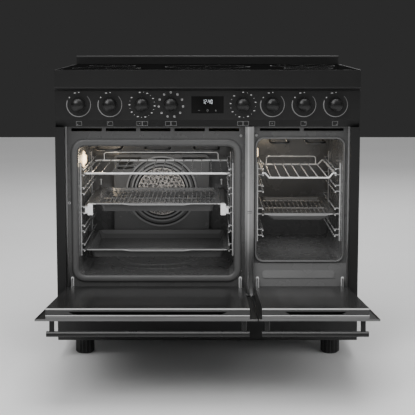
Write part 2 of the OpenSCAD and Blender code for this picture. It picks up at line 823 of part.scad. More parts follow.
// Cover over the fan: air slots, a pressed ring and a round grille of holes
module fan_cover() color("gray") {
    rings = floor((grille_r - hole_pitch / 2) / hole_pitch);
    middle = [fan_x, cover_z + cover_h / 2];
    slots = [[-1, 0, 80], [-1, 1, 54], [-1, 2, 54], [1, 0, 80]];
    difference() {
        union() {
            along_y(cover_y, cavity_back - sheet_t) translate(middle) rounded_rect(cover_w, cover_h, 16);
            along_y(cover_y - 4, cover_y + eps) translate([fan_x, fan_z]) difference() {
                intersection() {
                    circle(r = ring_r);
                    translate(middle - [fan_x, fan_z]) square([cover_w - 20, cover_h - 20], center = true);
                }
                circle(r = ring_r - 12);
            }
            along_y(cover_y - 4, cover_y + eps) translate([fan_x, fan_z]) circle(r = grille_r + 4);
        }
        along_y(cover_y + sheet_t, cavity_back - sheet_t + 1)
            translate(middle) rounded_rect(cover_w - 2 * sheet_t, cover_h - 2 * sheet_t, 14);
        along_y(cover_y - 3, cover_y + sheet_t + 1) translate([fan_x, fan_z]) circle(r = grille_r);
        along_y(cover_y - 5, cover_y + sheet_t + 1) {
            translate([fan_x, fan_z]) {
                circle(d = hole_d);
                for (k = [1:rings]) {
                    count = round(2 * PI * k);
                    for (i = [0:count - 1]) rotate(360 * i / count)
                        translate([k * hole_pitch, 0]) circle(d = hole_d);
                }
            }
            for (s = slots) {
                slot_x = fan_x + s[0] * (cover_w / 2 - 10 - s[2] / 2);
                translate([slot_x, cover_z + cover_h - 13 - 16 * s[1]]) square([s[2], 6], center = true);
            }
        }
    }
}

// Fan wheel: a disc of curved-out blades on its shaft
module fan() color("silver") {
    y = cover_y + sheet_t + 4;
    translate([fan_x, y, fan_z]) rotate([-90, 0, 0]) {
        translate([0, 0, blade_l]) cylinder(r = fan_r, h = 1.5);
        cylinder(r = 12, h = blade_l + 1);
        for (i = [0:blades - 1]) rotate([0, 0, 360 * i / blades]) translate([fan_r * 0.55, 0, 0])
            rotate([0, 0, 25]) translate([0, -0.75, 0]) cube([fan_r * 0.4, 1.5, blade_l + 0.5]);
        translate([0, 0, 1]) cylinder(d = shaft_d, h = cavity_back - y + motor_l - 10);
    }
}

// Fan motor behind the cavity, in a sleeve through the wool
module fan_motor() color("darkgray") {
    translate([fan_x, cavity_back, fan_z]) rotate([-90, 0, 0]) difference() {
        union() {
            cylinder(r = 30, h = motor_l - 10);
            translate([0, 0, motor_l - 10 - eps]) cylinder(r = 22, h = 14);
        }
        translate([0, 0, -1]) cylinder(d = shaft_d + bore_fit, h = motor_l - 6);
    }
}

// Ring heating tube round the fan, with its two ends through the cavity's back
module fan_element() color("dimgray") {
    r = fan_r + 16;
    d = 6.5;
    translate([fan_x, cover_y + 15, fan_z]) rotate([-90, 0, 0]) {
        rotate_extrude() translate([r, 0]) circle(d = d);
        for (x = [-14, 14]) translate([x, -sqrt(r * r - x * x), 0])
            cylinder(d = d - 1, h = cover_d - sheet_t - 15);
    }
}

// ---- hinges ----

// Chrome arms on the ovens' fronts, each with the pin that its door turns on
module hinge_arms() color("silver") {
    for (x = concat(main_hinges, aux_hinges)) {
        along_y(face_y - 1.5, face_y) translate([x, (plate_z[0] + plate_z[1]) / 2])
            rounded_rect(9, plate_z[1] - plate_z[0], 4);
        along_x(x - arm_t / 2, x + arm_t / 2) {
            translate([hinge_y, hinge_z]) circle(r = leaf_r - 1);
            polygon([[hinge_y + 1, hinge_z - 4], [face_y - 1, plate_z[0] + 3], [face_y - 1, plate_z[1] - 4],
                     [face_y - 9, plate_z[1] - 8], [hinge_y - 3.5, hinge_z + 3]]);
        }
        translate([x - slot_w / 2 + slide_gap, hinge_y, hinge_z])
            rotate([0, 90, 0]) cylinder(d = pin_d, h = slot_w - 2 * slide_gap);
    }
}

// Slot in a closed door that its hinge arm folds into
module hinge_slots(hinges) {
    for (x = hinges)
        block([x - slot_w / 2, outer_y + sheet_t, door_z - 10], [x + slot_w / 2, inner_y + 1, slot_top]);
}

// Leaves on a door, either side of each arm, bored for the pin
module hinge_leaves(hinges) {
    opened() for (x = hinges, side = [-1, 1]) {
        middle = x + side * (arm_t / 2 + slide_gap + leaf_t / 2);
        along_x(middle - leaf_t / 2, middle + leaf_t / 2) difference() {
            union() {
                translate([hinge_y, hinge_z]) circle(r = leaf_r - 0.5);
                translate([outer_y + hem, hinge_z + 2]) square([15, slot_top - hinge_z - 4]);
            }
            translate([hinge_y, hinge_z]) circle(d = pin_d + bore_fit);
        }
    }
}

module main_hinge_leaves() color("silver") hinge_leaves(main_hinges);

module aux_hinge_leaves() color("silver") hinge_leaves(aux_hinges);

// ---- doors ----

// Outline of a door's window, grown by a margin
module window(body, grow = 0) {
    low = door_z + window_low;
    high = door_top - window_top;
    translate([(body[0] + body[1]) / 2, (low + high) / 2])
        rounded_rect(body[1] - body[0] - 2 * (window_in - grow), high - low + 2 * grow, 12 + grow);
}

// Outer panel: a folded sheet with a window, hemmed at its edges and folded deeper along its top
module door_panel(panel, body, hinges) {
    opened() {
        difference() {
            block([panel[0], outer_y, door_z], [panel[1], outer_y + hem, door_top]);
            block([panel[0] + sheet_t, outer_y + sheet_t, door_z + sheet_t],
                  [panel[1] - sheet_t, outer_y + hem + 1, door_top - sheet_t]);
            along_y(outer_y - 1, outer_y + sheet_t + 1) window(body);
            hinge_slots(hinges);
        }
        block([body[0], outer_y + hem - eps, door_top - sheet_t], [body[1], outer_y + top_fold, door_top]);
    }
}

module main_door_panel() color([0.15, 0.15, 0.16]) door_panel(main_panel_x, main_body_x, main_hinges);

module aux_door_panel() color([0.15, 0.15, 0.16]) door_panel(aux_panel_x, aux_body_x, aux_hinges);

// Frame: a channel all round the door behind its panel, with air slots in its top
module door_frame(body, hinges) {
    glass_y = inner_y - inner_glass_t;
    top = door_top - sheet_t;
    back = outer_y + sheet_t;
    slot_y = glass_y - sheet_t - 3 - air_h;
    opened() difference() {
        block([body[0], back, door_z + sheet_t], [body[1], glass_y, top]);
        block([body[0] + channel_w, back - 1, door_z + channel_w],
              [body[1] - channel_w, glass_y + 1, top - channel_w]);
        difference() {
            block([body[0] + sheet_t, back - 1, door_z + 2 * sheet_t],
                  [body[1] - sheet_t, glass_y - sheet_t, top - sheet_t]);
            block([body[0] + channel_w - sheet_t, back - 2, door_z + channel_w - sheet_t],
                  [body[1] - channel_w + sheet_t, glass_y, top - channel_w + sheet_t]);
        }
        translate([0, 0, top - sheet_t - 1]) linear_extrude(sheet_t + 2)
            polygon([[body[0] + air_in, slot_y + air_h], [body[1] - air_in, slot_y + air_h],
                     [body[1] - air_in - 2 * air_h, slot_y], [body[0] + air_in + 2 * air_h, slot_y]]);
        hinge_slots(hinges);
    }
}

module main_door_frame() color("dimgray") door_frame(main_body_x, main_hinges);

module aux_door_frame() color("dimgray") door_frame(aux_body_x, aux_hinges);

// Inner glass over the whole frame, notched round the hinge arms, and the window's glass
module door_glass(body, hinges) {
    opened() {
        difference() {
            block([body[0], inner_y - inner_glass_t, door_z + sheet_t],
                  [body[1], inner_y, door_top - sheet_t]);
            hinge_slots(hinges);
        }
        along_y(outer_y + sheet_t, outer_y + sheet_t + window_t) window(body, window_lap);
    }
}

module main_door_glass() color([0.2, 0.25, 0.28]) door_glass(main_body_x, main_hinges);

module aux_door_glass() color([0.2, 0.25, 0.28]) door_glass(aux_body_x, aux_hinges);

// Handle: a rounded bar on two brackets
module handle(body) {
    z = door_top - bar_drop;
    y = outer_y - finger_gap - bar_t / 2;
    opened() {
        along_x(body[0], body[1]) translate([y, z]) rounded_rect(bar_t, bar_h, 5);
        for (x = [body[0] + bracket_in, body[1] - bracket_in])
            along_y(y, outer_y) translate([x, z]) rounded_rect(bracket_w, bar_h - 3, 4);
    }
}

module main_handle() color([0.1, 0.1, 0.1]) handle(main_body_x);

module aux_handle() color([0.1, 0.1, 0.1]) handle(aux_body_x);

// ---- racks ----

// Side ladders: two posts a side, and at each level a pair of rungs that stand in from them
module ladders(oven, rungs, reach) {
    posts = [ladder_y + 20, ladder_y + ladder_l - 20];
    x = oven[2] / 2;
    z = [rungs[0] - 18, rungs[len(rungs) - 1] + rung_gap + 18];
    both_sides(oven) {
        for (y = posts) rod([x - post_wire / 2, y, z[0]], [x - post_wire / 2, y, z[1]], post_wire);
        for (rung = rungs, lift = [0, rung_gap]) translate([x - reach, 0, rung + lift]) {
            rod([0, ladder_y, 0], [0, ladder_y + ladder_l, 0], rung_wire);
            for (y = posts) rod([0, y, 0], [reach - post_wire / 2, y, 0], rung_wire - 0.6);
        }
    }
}

module main_ladders() color("silver") ladders(main_oven, main_rungs, rung_in);

module aux_ladders() color("silver") ladders(aux_oven, aux_rungs, aux_rung_in);

// Raised stop along a shelf's back: a wire bow that stands on its back bar
module back_stop(w, z) {
    r = 8;
    d = slat_wire;
    y = rack_y + rack_l - shelf_wire / 2;
    for (side = [-1, 1]) {
        rod([side * w / 2, y, z], [side * w / 2, y, z + stop_h - r], d);
        translate([side * (w / 2 - r), y, z + stop_h - r]) rotate([90, 0, 0])
            rotate([0, 0, side > 0 ? 0 : 90]) rotate_extrude(angle = 90) translate([r, 0]) circle(d = d);
    }
    rod([-w / 2 + r, y, z + stop_h], [w / 2 - r, y, z + stop_h], d);
}

// Flat wire shelf of the main oven
module main_shelf() color("silver") {
    w = main_rack_w - shelf_wire;
    bars = floor((w - 40) / main_slat_pitch);
    translate([main_x, 0, 0]) {
        translate([0, rack_y + rack_l / 2, shelf_z])
            swept_loop(w, rack_l - shelf_wire, 12) circle(d = shelf_wire);
        for (i = [0:bars]) translate([(i - bars / 2) * main_slat_pitch, 0, 0])
            rod([0, rack_y + 3, shelf_z + 2], [0, rack_y + rack_l - 3, shelf_z + 2], slat_wire);
        back_stop(w - 60, shelf_z);
    }
}

// Cross bar of the small oven's shelf: flat in the middle and cranked up to its sides
module cranked_bar(y, half, z) {
    points = [[-half, y, z], [-half + crank_out, y, z], [-half + crank_in, y, z - shelf_drop],
              [half - crank_in, y, z - shelf_drop], [half - crank_out, y, z], [half, y, z]];
    for (i = [0:4]) rod(points[i], points[i + 1], shelf_wire - 1);
    for (i = [1:4]) translate(points[i]) sphere(d = shelf_wire - 0.6);
}

// Dropped wire shelf of the small oven
module aux_shelf() color("silver") {
    half = aux_rack_w / 2 - shelf_wire / 2;
    flat = 2 * (half - crank_in);
    bars = floor(flat / slat_pitch);
    z = aux_shelf_z;
    translate([aux_x, 0, 0]) {
        for (side = [-1, 1]) rod([side * half, rack_y, z], [side * half, rack_y + rack_l, z], shelf_wire);
        for (y = [rack_y + 4, rack_y + rack_l - shelf_wire / 2]) cranked_bar(y, half, z);
        for (i = [0:bars]) translate([(i - bars / 2) * slat_pitch, 0, 0])
            rod([0, rack_y + 2, z - shelf_drop + 2], [0, rack_y + rack_l - 1, z - shelf_drop + 2], slat_wire);
        back_stop(flat - 16, z - shelf_drop);
    }
}

// How far a tray's wall has come in at a depth near its rim: the wall is a quarter bow of flat steps
function wall_in(lean, steps, depth) =
    lean * (1 - cos(90 / steps)) * depth / (tray_h * sin(90 / steps) - edge_t);

// Room between a tray's walls at a depth near its rim
function well_room(size, lean, steps, depth) = size - 2 * (rim_w + tray_t + wall_in(lean, steps, depth));

// Bowl between stepped outlines, smaller by an edge all round
module bowl(w, l, lean, steps, edge) {
    hull() for (i = [0:steps]) {
        inset = rim_w + edge + lean * (1 - cos(90 * i / steps));
        translate([0, 0, edge - tray_h * sin(90 * i / steps)]) linear_extrude(i == 0 ? tray_t : edge_t)
            rounded_rect(w - 2 * inset, l - 2 * inset, 18 - edge - 4 * i / steps, $fn = 32);
    }
}

// Pressed tray: walls that lean or curve in, a flat rim and a front rim that dips in the middle
module tray(w, rim_z, lean, steps) {
    translate([0, rack_y + rack_l / 2, rim_z]) {
        difference() {
            union() {
                linear_extrude(tray_t) rounded_rect(w, rack_l, 10);
                bowl(w, rack_l, lean, steps, 0);
            }
            bowl(w, rack_l, lean, steps, tray_t);
        }
        translate([0, -rack_l / 2 - 1, 0]) rim_front(w);
    }
}

// Turned-down lip along a tray's front, lower over the dip
module rim_front(w) {
    lip = 3;
    edge = [[-w / 2 + 10, 0], [-dip_w / 2 - 22, 0], [-dip_w / 2, -rim_dip],
            [dip_w / 2, -rim_dip], [dip_w / 2 + 22, 0], [w / 2 - 10, 0]];
    along_y(0, 2) for (i = [0:4]) translate([0, tray_t])
        polygon([edge[i], edge[i + 1], edge[i + 1] - [0, lip], edge[i] - [0, lip]]);
}

module upper_tray() color("gray") translate([main_x, 0, 0]) tray(upper_tray_w, upper_tray_z, tray_lean, 1);

module lower_tray() color("dimgray") translate([main_x, 0, 0]) tray(main_rack_w, lower_tray_z, tray_lean, 1);

// The small oven's pan has a rounded belly
module aux_tray() color("gray") translate([aux_x, 0, 0]) tray(aux_rack_w, aux_tray_z, belly, belly_steps);

// Wire grid in a tray: the ends of its cross bars rest on the walls, just below the rim
module tray_grid(w, rim_z, lean, steps) {
    cross_d = grid_wire + 0.5;
    cross_z = tray_t - grid_drop;
    bar_z = cross_z + (grid_wire + cross_d) / 2 - 0.8;
    half = well_room(w, lean, steps, tray_t - cross_z + cross_d / 2) / 2 - slide_gap;
    l = well_room(rack_l, lean, steps, tray_t - bar_z + grid_wire / 2) - 6;
    bars = floor(2 * (half - 6) / grid_pitch);
    translate([0, rack_y + rack_l / 2, rim_z]) {
        for (i = [0:bars]) translate([(i - bars / 2) * grid_pitch, 0, 0])
            rod([0, -l / 2, bar_z], [0, l / 2, bar_z], grid_wire);
        for (y = [-0.43, -0.06, 0.43] * l)
            rod([-half, y, cross_z], [half, y, cross_z], cross_d);
    }
}

module upper_tray_grid() color("silver")
    translate([main_x, 0, 0]) tray_grid(upper_tray_w, upper_tray_z, tray_lean, 1);

module aux_tray_grid() color("silver")
    translate([aux_x, 0, 0]) tray_grid(aux_rack_w, aux_tray_z, belly, belly_steps);

// ---- telescopic runners ----

// Channel of a runner, open towards the oven's middle
module channel(depth, h, w) {
    translate([rail_x - depth - runner_t, rail_z - h / 2]) square([runner_t, h]);
    for (z = [rail_z - h / 2, rail_z + h / 2 - runner_t])
        translate([rail_x - depth - w, z]) square([w, runner_t]);
}

// Rails clipped over the rungs of their level
module runner_rails() color("silver") both_sides(main_oven) {
    clip_l = 15;
    along_y(rack_y + 3, rack_y + runner_l) channel(0, rail_h, rail_w);
    for (y = [ladder_y + 60, ladder_y + ladder_l - 60], z = [rail_z - rung_gap / 2, rail_z + rung_gap / 2])
        along_y(y, y + clip_l) difference() {
            translate([rail_x - eps, z - 3.5]) square([rung_wire + 2, 7]);
            translate([rail_x + rung_wire / 2, z]) circle(d = rung_wire + bore_fit);
        }
}

module runner_middles() color("silver") both_sides(main_oven)
    along_y(rack_y + 3, rack_y + runner_l) channel(step_t, rail_h - 2 * step_t, rail_w);

// Sliders with the ledge, front shoe and back peg that hold the tray
module runner_sliders() color("white") both_sides(main_oven) {
    low = rail_z - slider_h / 2;
    tray_x = upper_tray_w / 2;
    along_y(rack_y, rack_y + runner_l) {
        translate([slider_x - eps, low]) square([rail_x - 2 * step_t - slider_x + eps, slider_h]);
        translate([slider_x - runner_t, low]) square([runner_t, ledge_z + runner_t - low]);
        translate([tray_x - 9, ledge_z]) square([slider_x - tray_x + 9, runner_t]);
    }
    block([tray_x + eps, rack_y - 2, rail_z - shoe_h / 2 + 2],
          [tray_x + shoe_w - rail_w, rack_y + eps, rail_z + shoe_h / 2 + 2]);
    block([tray_x + eps, rack_y - 2, rail_z - slider_h / 2 - 1],
          [rail_x - eps, rack_y + eps, rail_z + slider_h / 2 + 1]);
    translate([(tray_x + slider_x) / 2, rack_y + runner_l - 8, ledge_z + runner_t - eps]) {
        cylinder(d = 4, h = peg_h);
        translate([0, 0, peg_h]) sphere(d = 7);
    }
}

// ---- model ----

base_frame();
feet();
side_panels();
back_panel();
cable_gland();
lower_fascia();
hob_frame();
hob_glass();
induction_coils();
coil_tray();
upstand();
front_band();
control_panel();
display();
switches();
main_front();
aux_front();
front_trims();
main_cavity();
aux_cavity();
main_gasket();
aux_gasket();
insulation();
main_ladders();
aux_ladders();
fan_cover();
fan();
fan_motor();
fan_element();
grill_elements();
oven_lamps();
hinge_arms();
main_door_panel();
main_door_frame();
main_door_glass();
main_handle();
main_hinge_leaves();
aux_door_panel();
aux_door_frame();
aux_door_glass();
aux_handle();
aux_hinge_leaves();
runner_rails();
runner_middles();
runner_sliders();
main_shelf();
upper_tray();
upper_tray_grid();
lower_tray();
aux_shelf();
aux_tray();
aux_tray_grid();
knob(knob_x[0]);  // knob_1
knob(knob_x[1]);  // knob_2
knob(knob_x[2]);  // knob_3
knob(knob_x[3]);  // knob_4
knob(knob_x[4]);  // knob_5
knob(knob_x[5]);  // knob_6
knob(knob_x[6]);  // knob_7
knob(knob_x[7]);  // knob_8
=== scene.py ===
# Range cooker with two ovens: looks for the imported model.
import json
import math

import bmesh
import bpy
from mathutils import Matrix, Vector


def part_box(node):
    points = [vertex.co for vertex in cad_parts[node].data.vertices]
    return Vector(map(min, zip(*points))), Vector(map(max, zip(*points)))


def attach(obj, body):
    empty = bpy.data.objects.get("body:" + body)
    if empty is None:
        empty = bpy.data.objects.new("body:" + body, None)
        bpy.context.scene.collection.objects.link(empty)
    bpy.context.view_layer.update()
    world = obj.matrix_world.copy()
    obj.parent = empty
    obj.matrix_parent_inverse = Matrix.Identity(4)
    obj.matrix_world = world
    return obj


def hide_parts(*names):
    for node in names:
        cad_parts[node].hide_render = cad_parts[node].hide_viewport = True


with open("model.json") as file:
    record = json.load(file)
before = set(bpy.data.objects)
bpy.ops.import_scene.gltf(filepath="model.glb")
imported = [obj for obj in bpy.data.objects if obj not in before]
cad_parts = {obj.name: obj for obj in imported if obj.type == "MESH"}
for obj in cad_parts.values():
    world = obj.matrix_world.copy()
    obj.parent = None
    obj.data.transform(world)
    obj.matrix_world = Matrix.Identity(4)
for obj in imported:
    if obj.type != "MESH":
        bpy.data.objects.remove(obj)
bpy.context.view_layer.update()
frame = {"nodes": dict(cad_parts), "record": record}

nodes = frame["nodes"]
slotOf = {part["node"]: part["material_slot"] for part in frame["record"]["subparts"]}
print("frame loaded,", len(nodes), "nodes")

camera = {
    "place": (0.0, -3.40, 0.987),
    "tilt": 83.13,   # degrees, 90 looks level
    "lens": 98.6,
    "shiftX": 0.0, "shiftY": -0.10,
    "farClip": 50,
}


def makeCamera(settings):
    bpy.ops.object.camera_add(location=settings["place"],
                              rotation=(math.radians(settings["tilt"]), 0, 0))
    eye = bpy.context.object
    eye.name = "mainCamera"
    eye.data.lens = settings["lens"]
    eye.data.shift_x, eye.data.shift_y = settings["shiftX"], settings["shiftY"]
    eye.data.clip_end = settings["farClip"]
    bpy.context.scene.camera = eye


makeCamera(camera)

studio = {
    "floorWidth": 60.0, "floorFront": -50.0, "floorBack": 7.0,
    # the surroundings: tones at the horizon and overhead, and the heights between which they blend
    "horizon": 0.03, "overhead": 0.45, "horizonTo": 0.16, "overheadFrom": 0.75,
    # lamps: place, turn (degrees), size, power
    "lamps": {
        "keyLight": ((-2.2, -3.0, 3.4), (52, 0, -36), 2.4, 120),
        "fillLight": ((2.6, -3.2, 2.2), (62, 0, 38), 2.6, 80),
        "topLight": ((0.0, -0.4, 3.6), (8, 0, 0), 2.6, 90),
        "backLight": ((0.6, 3.0, 2.6), (-55, 0, 0), 2.4, 40),
    },
    # even light into the ovens and onto their floors: place, turn (degrees), width, height, power
    "washes": {
        "ovenWash": ((-0.02, -0.30, 0.50), (86, 0, 0), 0.9, 0.46, 2.6),
        "mainFloorWash": ((-0.1535, 0.20, 0.292), (0, 0, 0), 0.40, 0.26, 0.16),
        "lowerTrayWash": ((-0.1535, 0.18, 0.425), (0, 0, 0), 0.36, 0.30, 0.15),
        "upperTrayWash": ((-0.1535, 0.22, 0.545), (0, 0, 0), 0.36, 0.20, 0.10),
        "auxFloorWash": ((0.2765, 0.17, 0.402), (0, 0, 0), 0.20, 0.30, 0.16),
        "mainRoofWash": ((-0.1535, 0.16, 0.606), (0, 0, 0), 0.40, 0.30, 0.7),
        "auxRoofWash": ((0.2765, 0.16, 0.610), (0, 0, 0), 0.20, 0.30, 0.2),
    },
    # the glow of the ovens' lamps: place, size, power
    "glows": {
        "mainGlow": ((-0.335, 0.10, 0.585), 0.02, 0.36),
        "auxGlow": ((0.20, 0.20, 0.620), 0.02, 0.34),
    },
    "glowColour": (1.0, 0.82, 0.58),
}


def clearSelection():
    if bpy.context.object and bpy.context.object.mode == "EDIT":
        bpy.ops.object.mode_set(mode="OBJECT")
    bpy.ops.object.select_all(action="DESELECT")


def makeFloor(settings):
    clearSelection()
    front, back = settings["floorFront"], settings["floorBack"]
    bpy.ops.mesh.primitive_plane_add(size=1, location=(0, (front + back) / 2, 0))
    floor = bpy.context.object
    floor.scale = (settings["floorWidth"], back - front, 1)
    bpy.ops.object.transform_apply(location=True, rotation=True, scale=True)
    floor.name = "studioFloor"
    return floor


def addLight(kind, name, place, turn, power):
    bpy.ops.object.light_add(type=kind, location=place,
                             rotation=[math.radians(angle) for angle in turn])
    light = bpy.context.object
    light.name = name
    light.data.energy = power
    return light


def makeLights(settings):
    for name, (place, turn, size, power) in settings["lamps"].items():
        lamp = addLight("AREA", name, place, turn, power)
        lamp.data.shape = "SQUARE"
        lamp.data.size = size
    for name, (place, turn, width, height, power) in settings["washes"].items():
        wash = addLight("AREA", name, place, turn, power)
        wash.data.shape = "RECTANGLE"
        wash.data.size, wash.data.size_y = width, height
        wash.visible_camera = wash.visible_glossy = False
    bpy.data.objects["fillLight"].visible_glossy = False   # the knobs show one soft light alone
    for name, (place, size, power) in settings["glows"].items():
        glow = addLight("POINT", name, place, (0, 0, 0), power)
        glow.data.shadow_soft_size = size
        glow.data.color = settings["glowColour"]
        glow.visible_camera = False


def makeSurroundings(settings):
    world = bpy.data.worlds.new("studioWorld")
    bpy.context.scene.world = world
    world.use_nodes = True
    tree = world.node_tree
    place = tree.nodes.new("ShaderNodeTexCoord")
    split = tree.nodes.new("ShaderNodeSeparateXYZ")
    fade = tree.nodes.new("ShaderNodeMapRange")
    fade.inputs["From Min"].default_value = settings["horizonTo"]
    fade.inputs["From Max"].default_value = settings["overheadFrom"]
    fade.inputs["To Min"].default_value = settings["horizon"]
    fade.inputs["To Max"].default_value = settings["overhead"]
    tree.links.new(place.outputs["Generated"], split.inputs["Vector"])
    tree.links.new(split.outputs["Z"], fade.inputs["Value"])
    tree.links.new(fade.outputs["Result"], tree.nodes["Background"].inputs["Color"])


studioFloor = makeFloor(studio)
makeLights(studio)
makeSurroundings(studio)
print("camera and studio ready")


class Wire:  # a node's output that adds, multiplies and compares like a number
    def __init__(self, finish, socket):
        self.finish, self.socket = finish, socket

    def __add__(self, other): return self.finish.math("ADD", self, other)
    def __radd__(self, other): return self.finish.math("ADD", other, self)
    def __sub__(self, other): return self.finish.math("SUBTRACT", self, other)
    def __rsub__(self, other): return self.finish.math("SUBTRACT", other, self)
    def __mul__(self, other): return self.finish.math("MULTIPLY", self, other)
    def __rmul__(self, other): return self.finish.math("MULTIPLY", other, self)
    def __pow__(self, other): return self.finish.math("POWER", self, other)
    def __gt__(self, other): return self.finish.math("GREATER_THAN", self, other)
    def __lt__(self, other): return self.finish.math("LESS_THAN", self, other)
    def __abs__(self): return self.finish.math("ABSOLUTE", self)


mixSockets = {"factor": 0, "first": 6, "second": 7, "result": 2}   # the colour ones of a Mix node


class Finish:  # one material and its nodes
    def __init__(self, name):
        self.material = bpy.data.materials.new(name)
        self.material.use_nodes = True
        self.nodes = self.material.node_tree.nodes
        self.links = self.material.node_tree.links
        self.shader = self.nodes["Principled BSDF"]
        self.places = self.node("ShaderNodeTexCoord", {}, {}, "Object")

    def node(self, kind, settings, inputs, output=0):
        made = self.nodes.new(kind)
        for key, value in settings.items():
            setattr(made, key, value)
        for key, value in inputs.items():
            self.feed(made.inputs[key], value)
        return Wire(self, made.outputs[output])

    def feed(self, socket, value):
        if isinstance(value, Wire):
            self.links.new(value.socket, socket)
        elif socket.type == "RGBA":
            socket.default_value = (*value, 1)
        else:
            socket.default_value = value

    def math(self, operation, *values):
        return self.node("ShaderNodeMath", {"operation": operation}, dict(enumerate(values)))

    def noise(self, scale, detail=3.0, stretch=None):
        place = self.places
        if stretch:
            place = self.node("ShaderNodeMapping", {}, {"Vector": place, "Scale": stretch})
        return self.node("ShaderNodeTexNoise", {},
                         {"Vector": place, "Scale": scale, "Detail": detail})

    def between(self, mask, low, high, fromLow=0.35, fromHigh=0.65):
        return self.node("ShaderNodeMapRange", {"clamp": True},
                         {"Value": mask, "From Min": fromLow, "From Max": fromHigh,
                          "To Min": low, "To Max": high})

    def axes(self, letters):
        return [self.node("ShaderNodeSeparateXYZ", {}, {"Vector": self.places}, letter)
                for letter in letters]

    def tint(self, mask, first, second):
        return self.node("ShaderNodeMix", {"data_type": "RGBA"},
                         {mixSockets["factor"]: mask, mixSockets["first"]: first,
                          mixSockets["second"]: second}, mixSockets["result"])

    def bump(self, height, strength, distance):
        return self.node("ShaderNodeBump", {},
                         {"Height": height, "Strength": strength, "Distance": distance})

    def set(self, **sockets):
        for key, value in sockets.items():
            self.feed(self.shader.inputs[key.replace("_", " ")], value)
        return self.material


def grey(tone, warm=0.0):
    return (tone * (1 + warm), tone, tone * (1 - warm))


def withDetail(made, name, colour):   # adds the further marks of the finish of that name on its ground: its own patterns, and painted light and shade
    return details[name](made, colour) if name in details else colour


# painted, moulded and printed finishes
powderCoats = {
    # dark tone, light tone, roughness from, to, grain per metre, bump, gloss
    "black_steel": (0.0065, 0.0085, 0.46, 0.52, 900, 0.12, 0.24),
    "handle": (0.006, 0.009, 0.26, 0.36, 1200, 0.1, 0.35),
    # fascia: the black steel painted lighter, as painted light in the shade under the doors
    "fascia": (0.024, 0.032, 0.42, 0.56, 900, 0.22, 0.24),
    "feet": (0.014, 0.02, 0.45, 0.62, 700, 0.3, 0.3),
    "knob": (0.005, 0.008, 0.26, 0.34, 1500, 0.08, 0.34),
    "switch_plastic": (0.42, 0.5, 0.4, 0.55, 700, 0.15, 0.5),
    "seal_rubber": (0.036, 0.048, 0.4, 0.55, 420, 0.2, 0.5),
    "pale_rubber": (0.06, 0.08, 0.4, 0.55, 420, 0.2, 0.5),
    "panelPrint": (0.1, 0.14, 0.4, 0.55, 900, 0.1, 0.3),
    "brightPrint": (0.24, 0.34, 0.4, 0.55, 900, 0.1, 0.3),
    "hobPrint": (0.03, 0.05, 0.35, 0.5, 900, 0.1, 0.3),
}
paint = {"cloud": 4, "dust": 45, "uneven": 0.1, "depth": 0.0004}
footRibs = {"spacing": 0.011, "from": 0.6, "tone": 0.06}
handleHighlightBand = {"low": 0.2050, "high": 0.2086, "tone": 0.10}   # painted highlight along the bar's upper edge


def paintGround(made, dark, light, grain):   # cloudy paint with a fine grit
    cloud, grit = made.noise(paint["cloud"]), made.noise(grain, 2)
    mixed = made.between(cloud * 0.5 + grit * 0.5, 0, 1)
    return cloud, grit, made.tint(mixed, grey(dark), grey(light))


def powderCoat(name, dark, light, roughLow, roughHigh, grain, relief, gloss):
    made = Finish(name)
    cloud, grit, colour = paintGround(made, dark, light, grain)
    rough = made.between(made.noise(paint["dust"], 5), roughLow, roughHigh)
    made.set(Base_Color=withDetail(made, name, colour),
             Roughness=rough + (grit - 0.5) * paint["uneven"],
             Normal=made.bump(grit, relief, paint["depth"]))
    return made.set(Specular_IOR_Level=gloss)


# painted highlight: a light line painted along the crest of each rib of the feet
def footRibHighlights(made, colour):
    ribs = made.math("SINE", made.axes("X")[0] * (2 * math.pi / footRibs["spacing"]))
    return made.tint(made.between(ribs, 0, 1, footRibs["from"], 1), colour, grey(footRibs["tone"]))


# painted highlight: a lighter line along the handle bar's upper edge
def handleHighlight(made, colour):
    up = made.axes("Z")[0]
    line = (up > handleHighlightBand["low"]) * (up < handleHighlightBand["high"])
    return made.tint(line, colour, grey(handleHighlightBand["tone"]))


doorSteel = {
    # dark tone, light tone, tone of the end face, roughness from, to
    "door_panel": (0.008, 0.012, 0.105, 0.3, 0.42),
    "door_frame": (0.03, 0.045, 0.045, 0.3, 0.42),
    "endFace": -0.5352,    # the panel's top fold lies in front of this, in metres
    "bodies": ((-0.4182, 0.1092), (0.1408, 0.4182)),   # left and right edges of each door's body
    "wingEdge": -0.5325,   # the panel's wings are bright in front of this
    "topLine": 0.2527, "topTone": 0.6,   # the fold's upper edge catches the light
    "grain": 900, "relief": 0.18, "gloss": 0.3,
    "brush": (4, 300, 300), "brushDark": 0.8, "brushLight": 1.2,   # shares of the end's tone
}


def doorCoat(name, settings):
    dark, light, end, roughLow, roughHigh = settings[name]
    made = Finish(name)
    cloud, grit, painted = paintGround(made, dark, light, settings["grain"])
    lines = made.noise(1, 3, settings["brush"])
    brushed = made.tint(made.between(lines, 0, 1), grey(end * settings["brushDark"]),
                        grey(end * settings["brushLight"]))
    across, back, up = made.axes("XYZ")
    inBody = sum((across > left) * (across < right) for left, right in settings["bodies"])
    onEnd = (back < settings["endFace"]) * inBody
    onWing = (back < settings["wingEdge"]) * (1 - inBody)
    if name == "door_panel":
        brushed = made.tint(up > settings["topLine"], brushed, grey(settings["topTone"]))
    made.set(Base_Color=made.tint(onEnd + onWing > 0.5, painted, brushed),
             Roughness=made.between(cloud, roughLow, roughHigh) + (grit - 0.5) * paint["uneven"],
             Normal=made.bump(grit, settings["relief"], paint["depth"]))
    return made.set(Specular_IOR_Level=settings["gloss"])


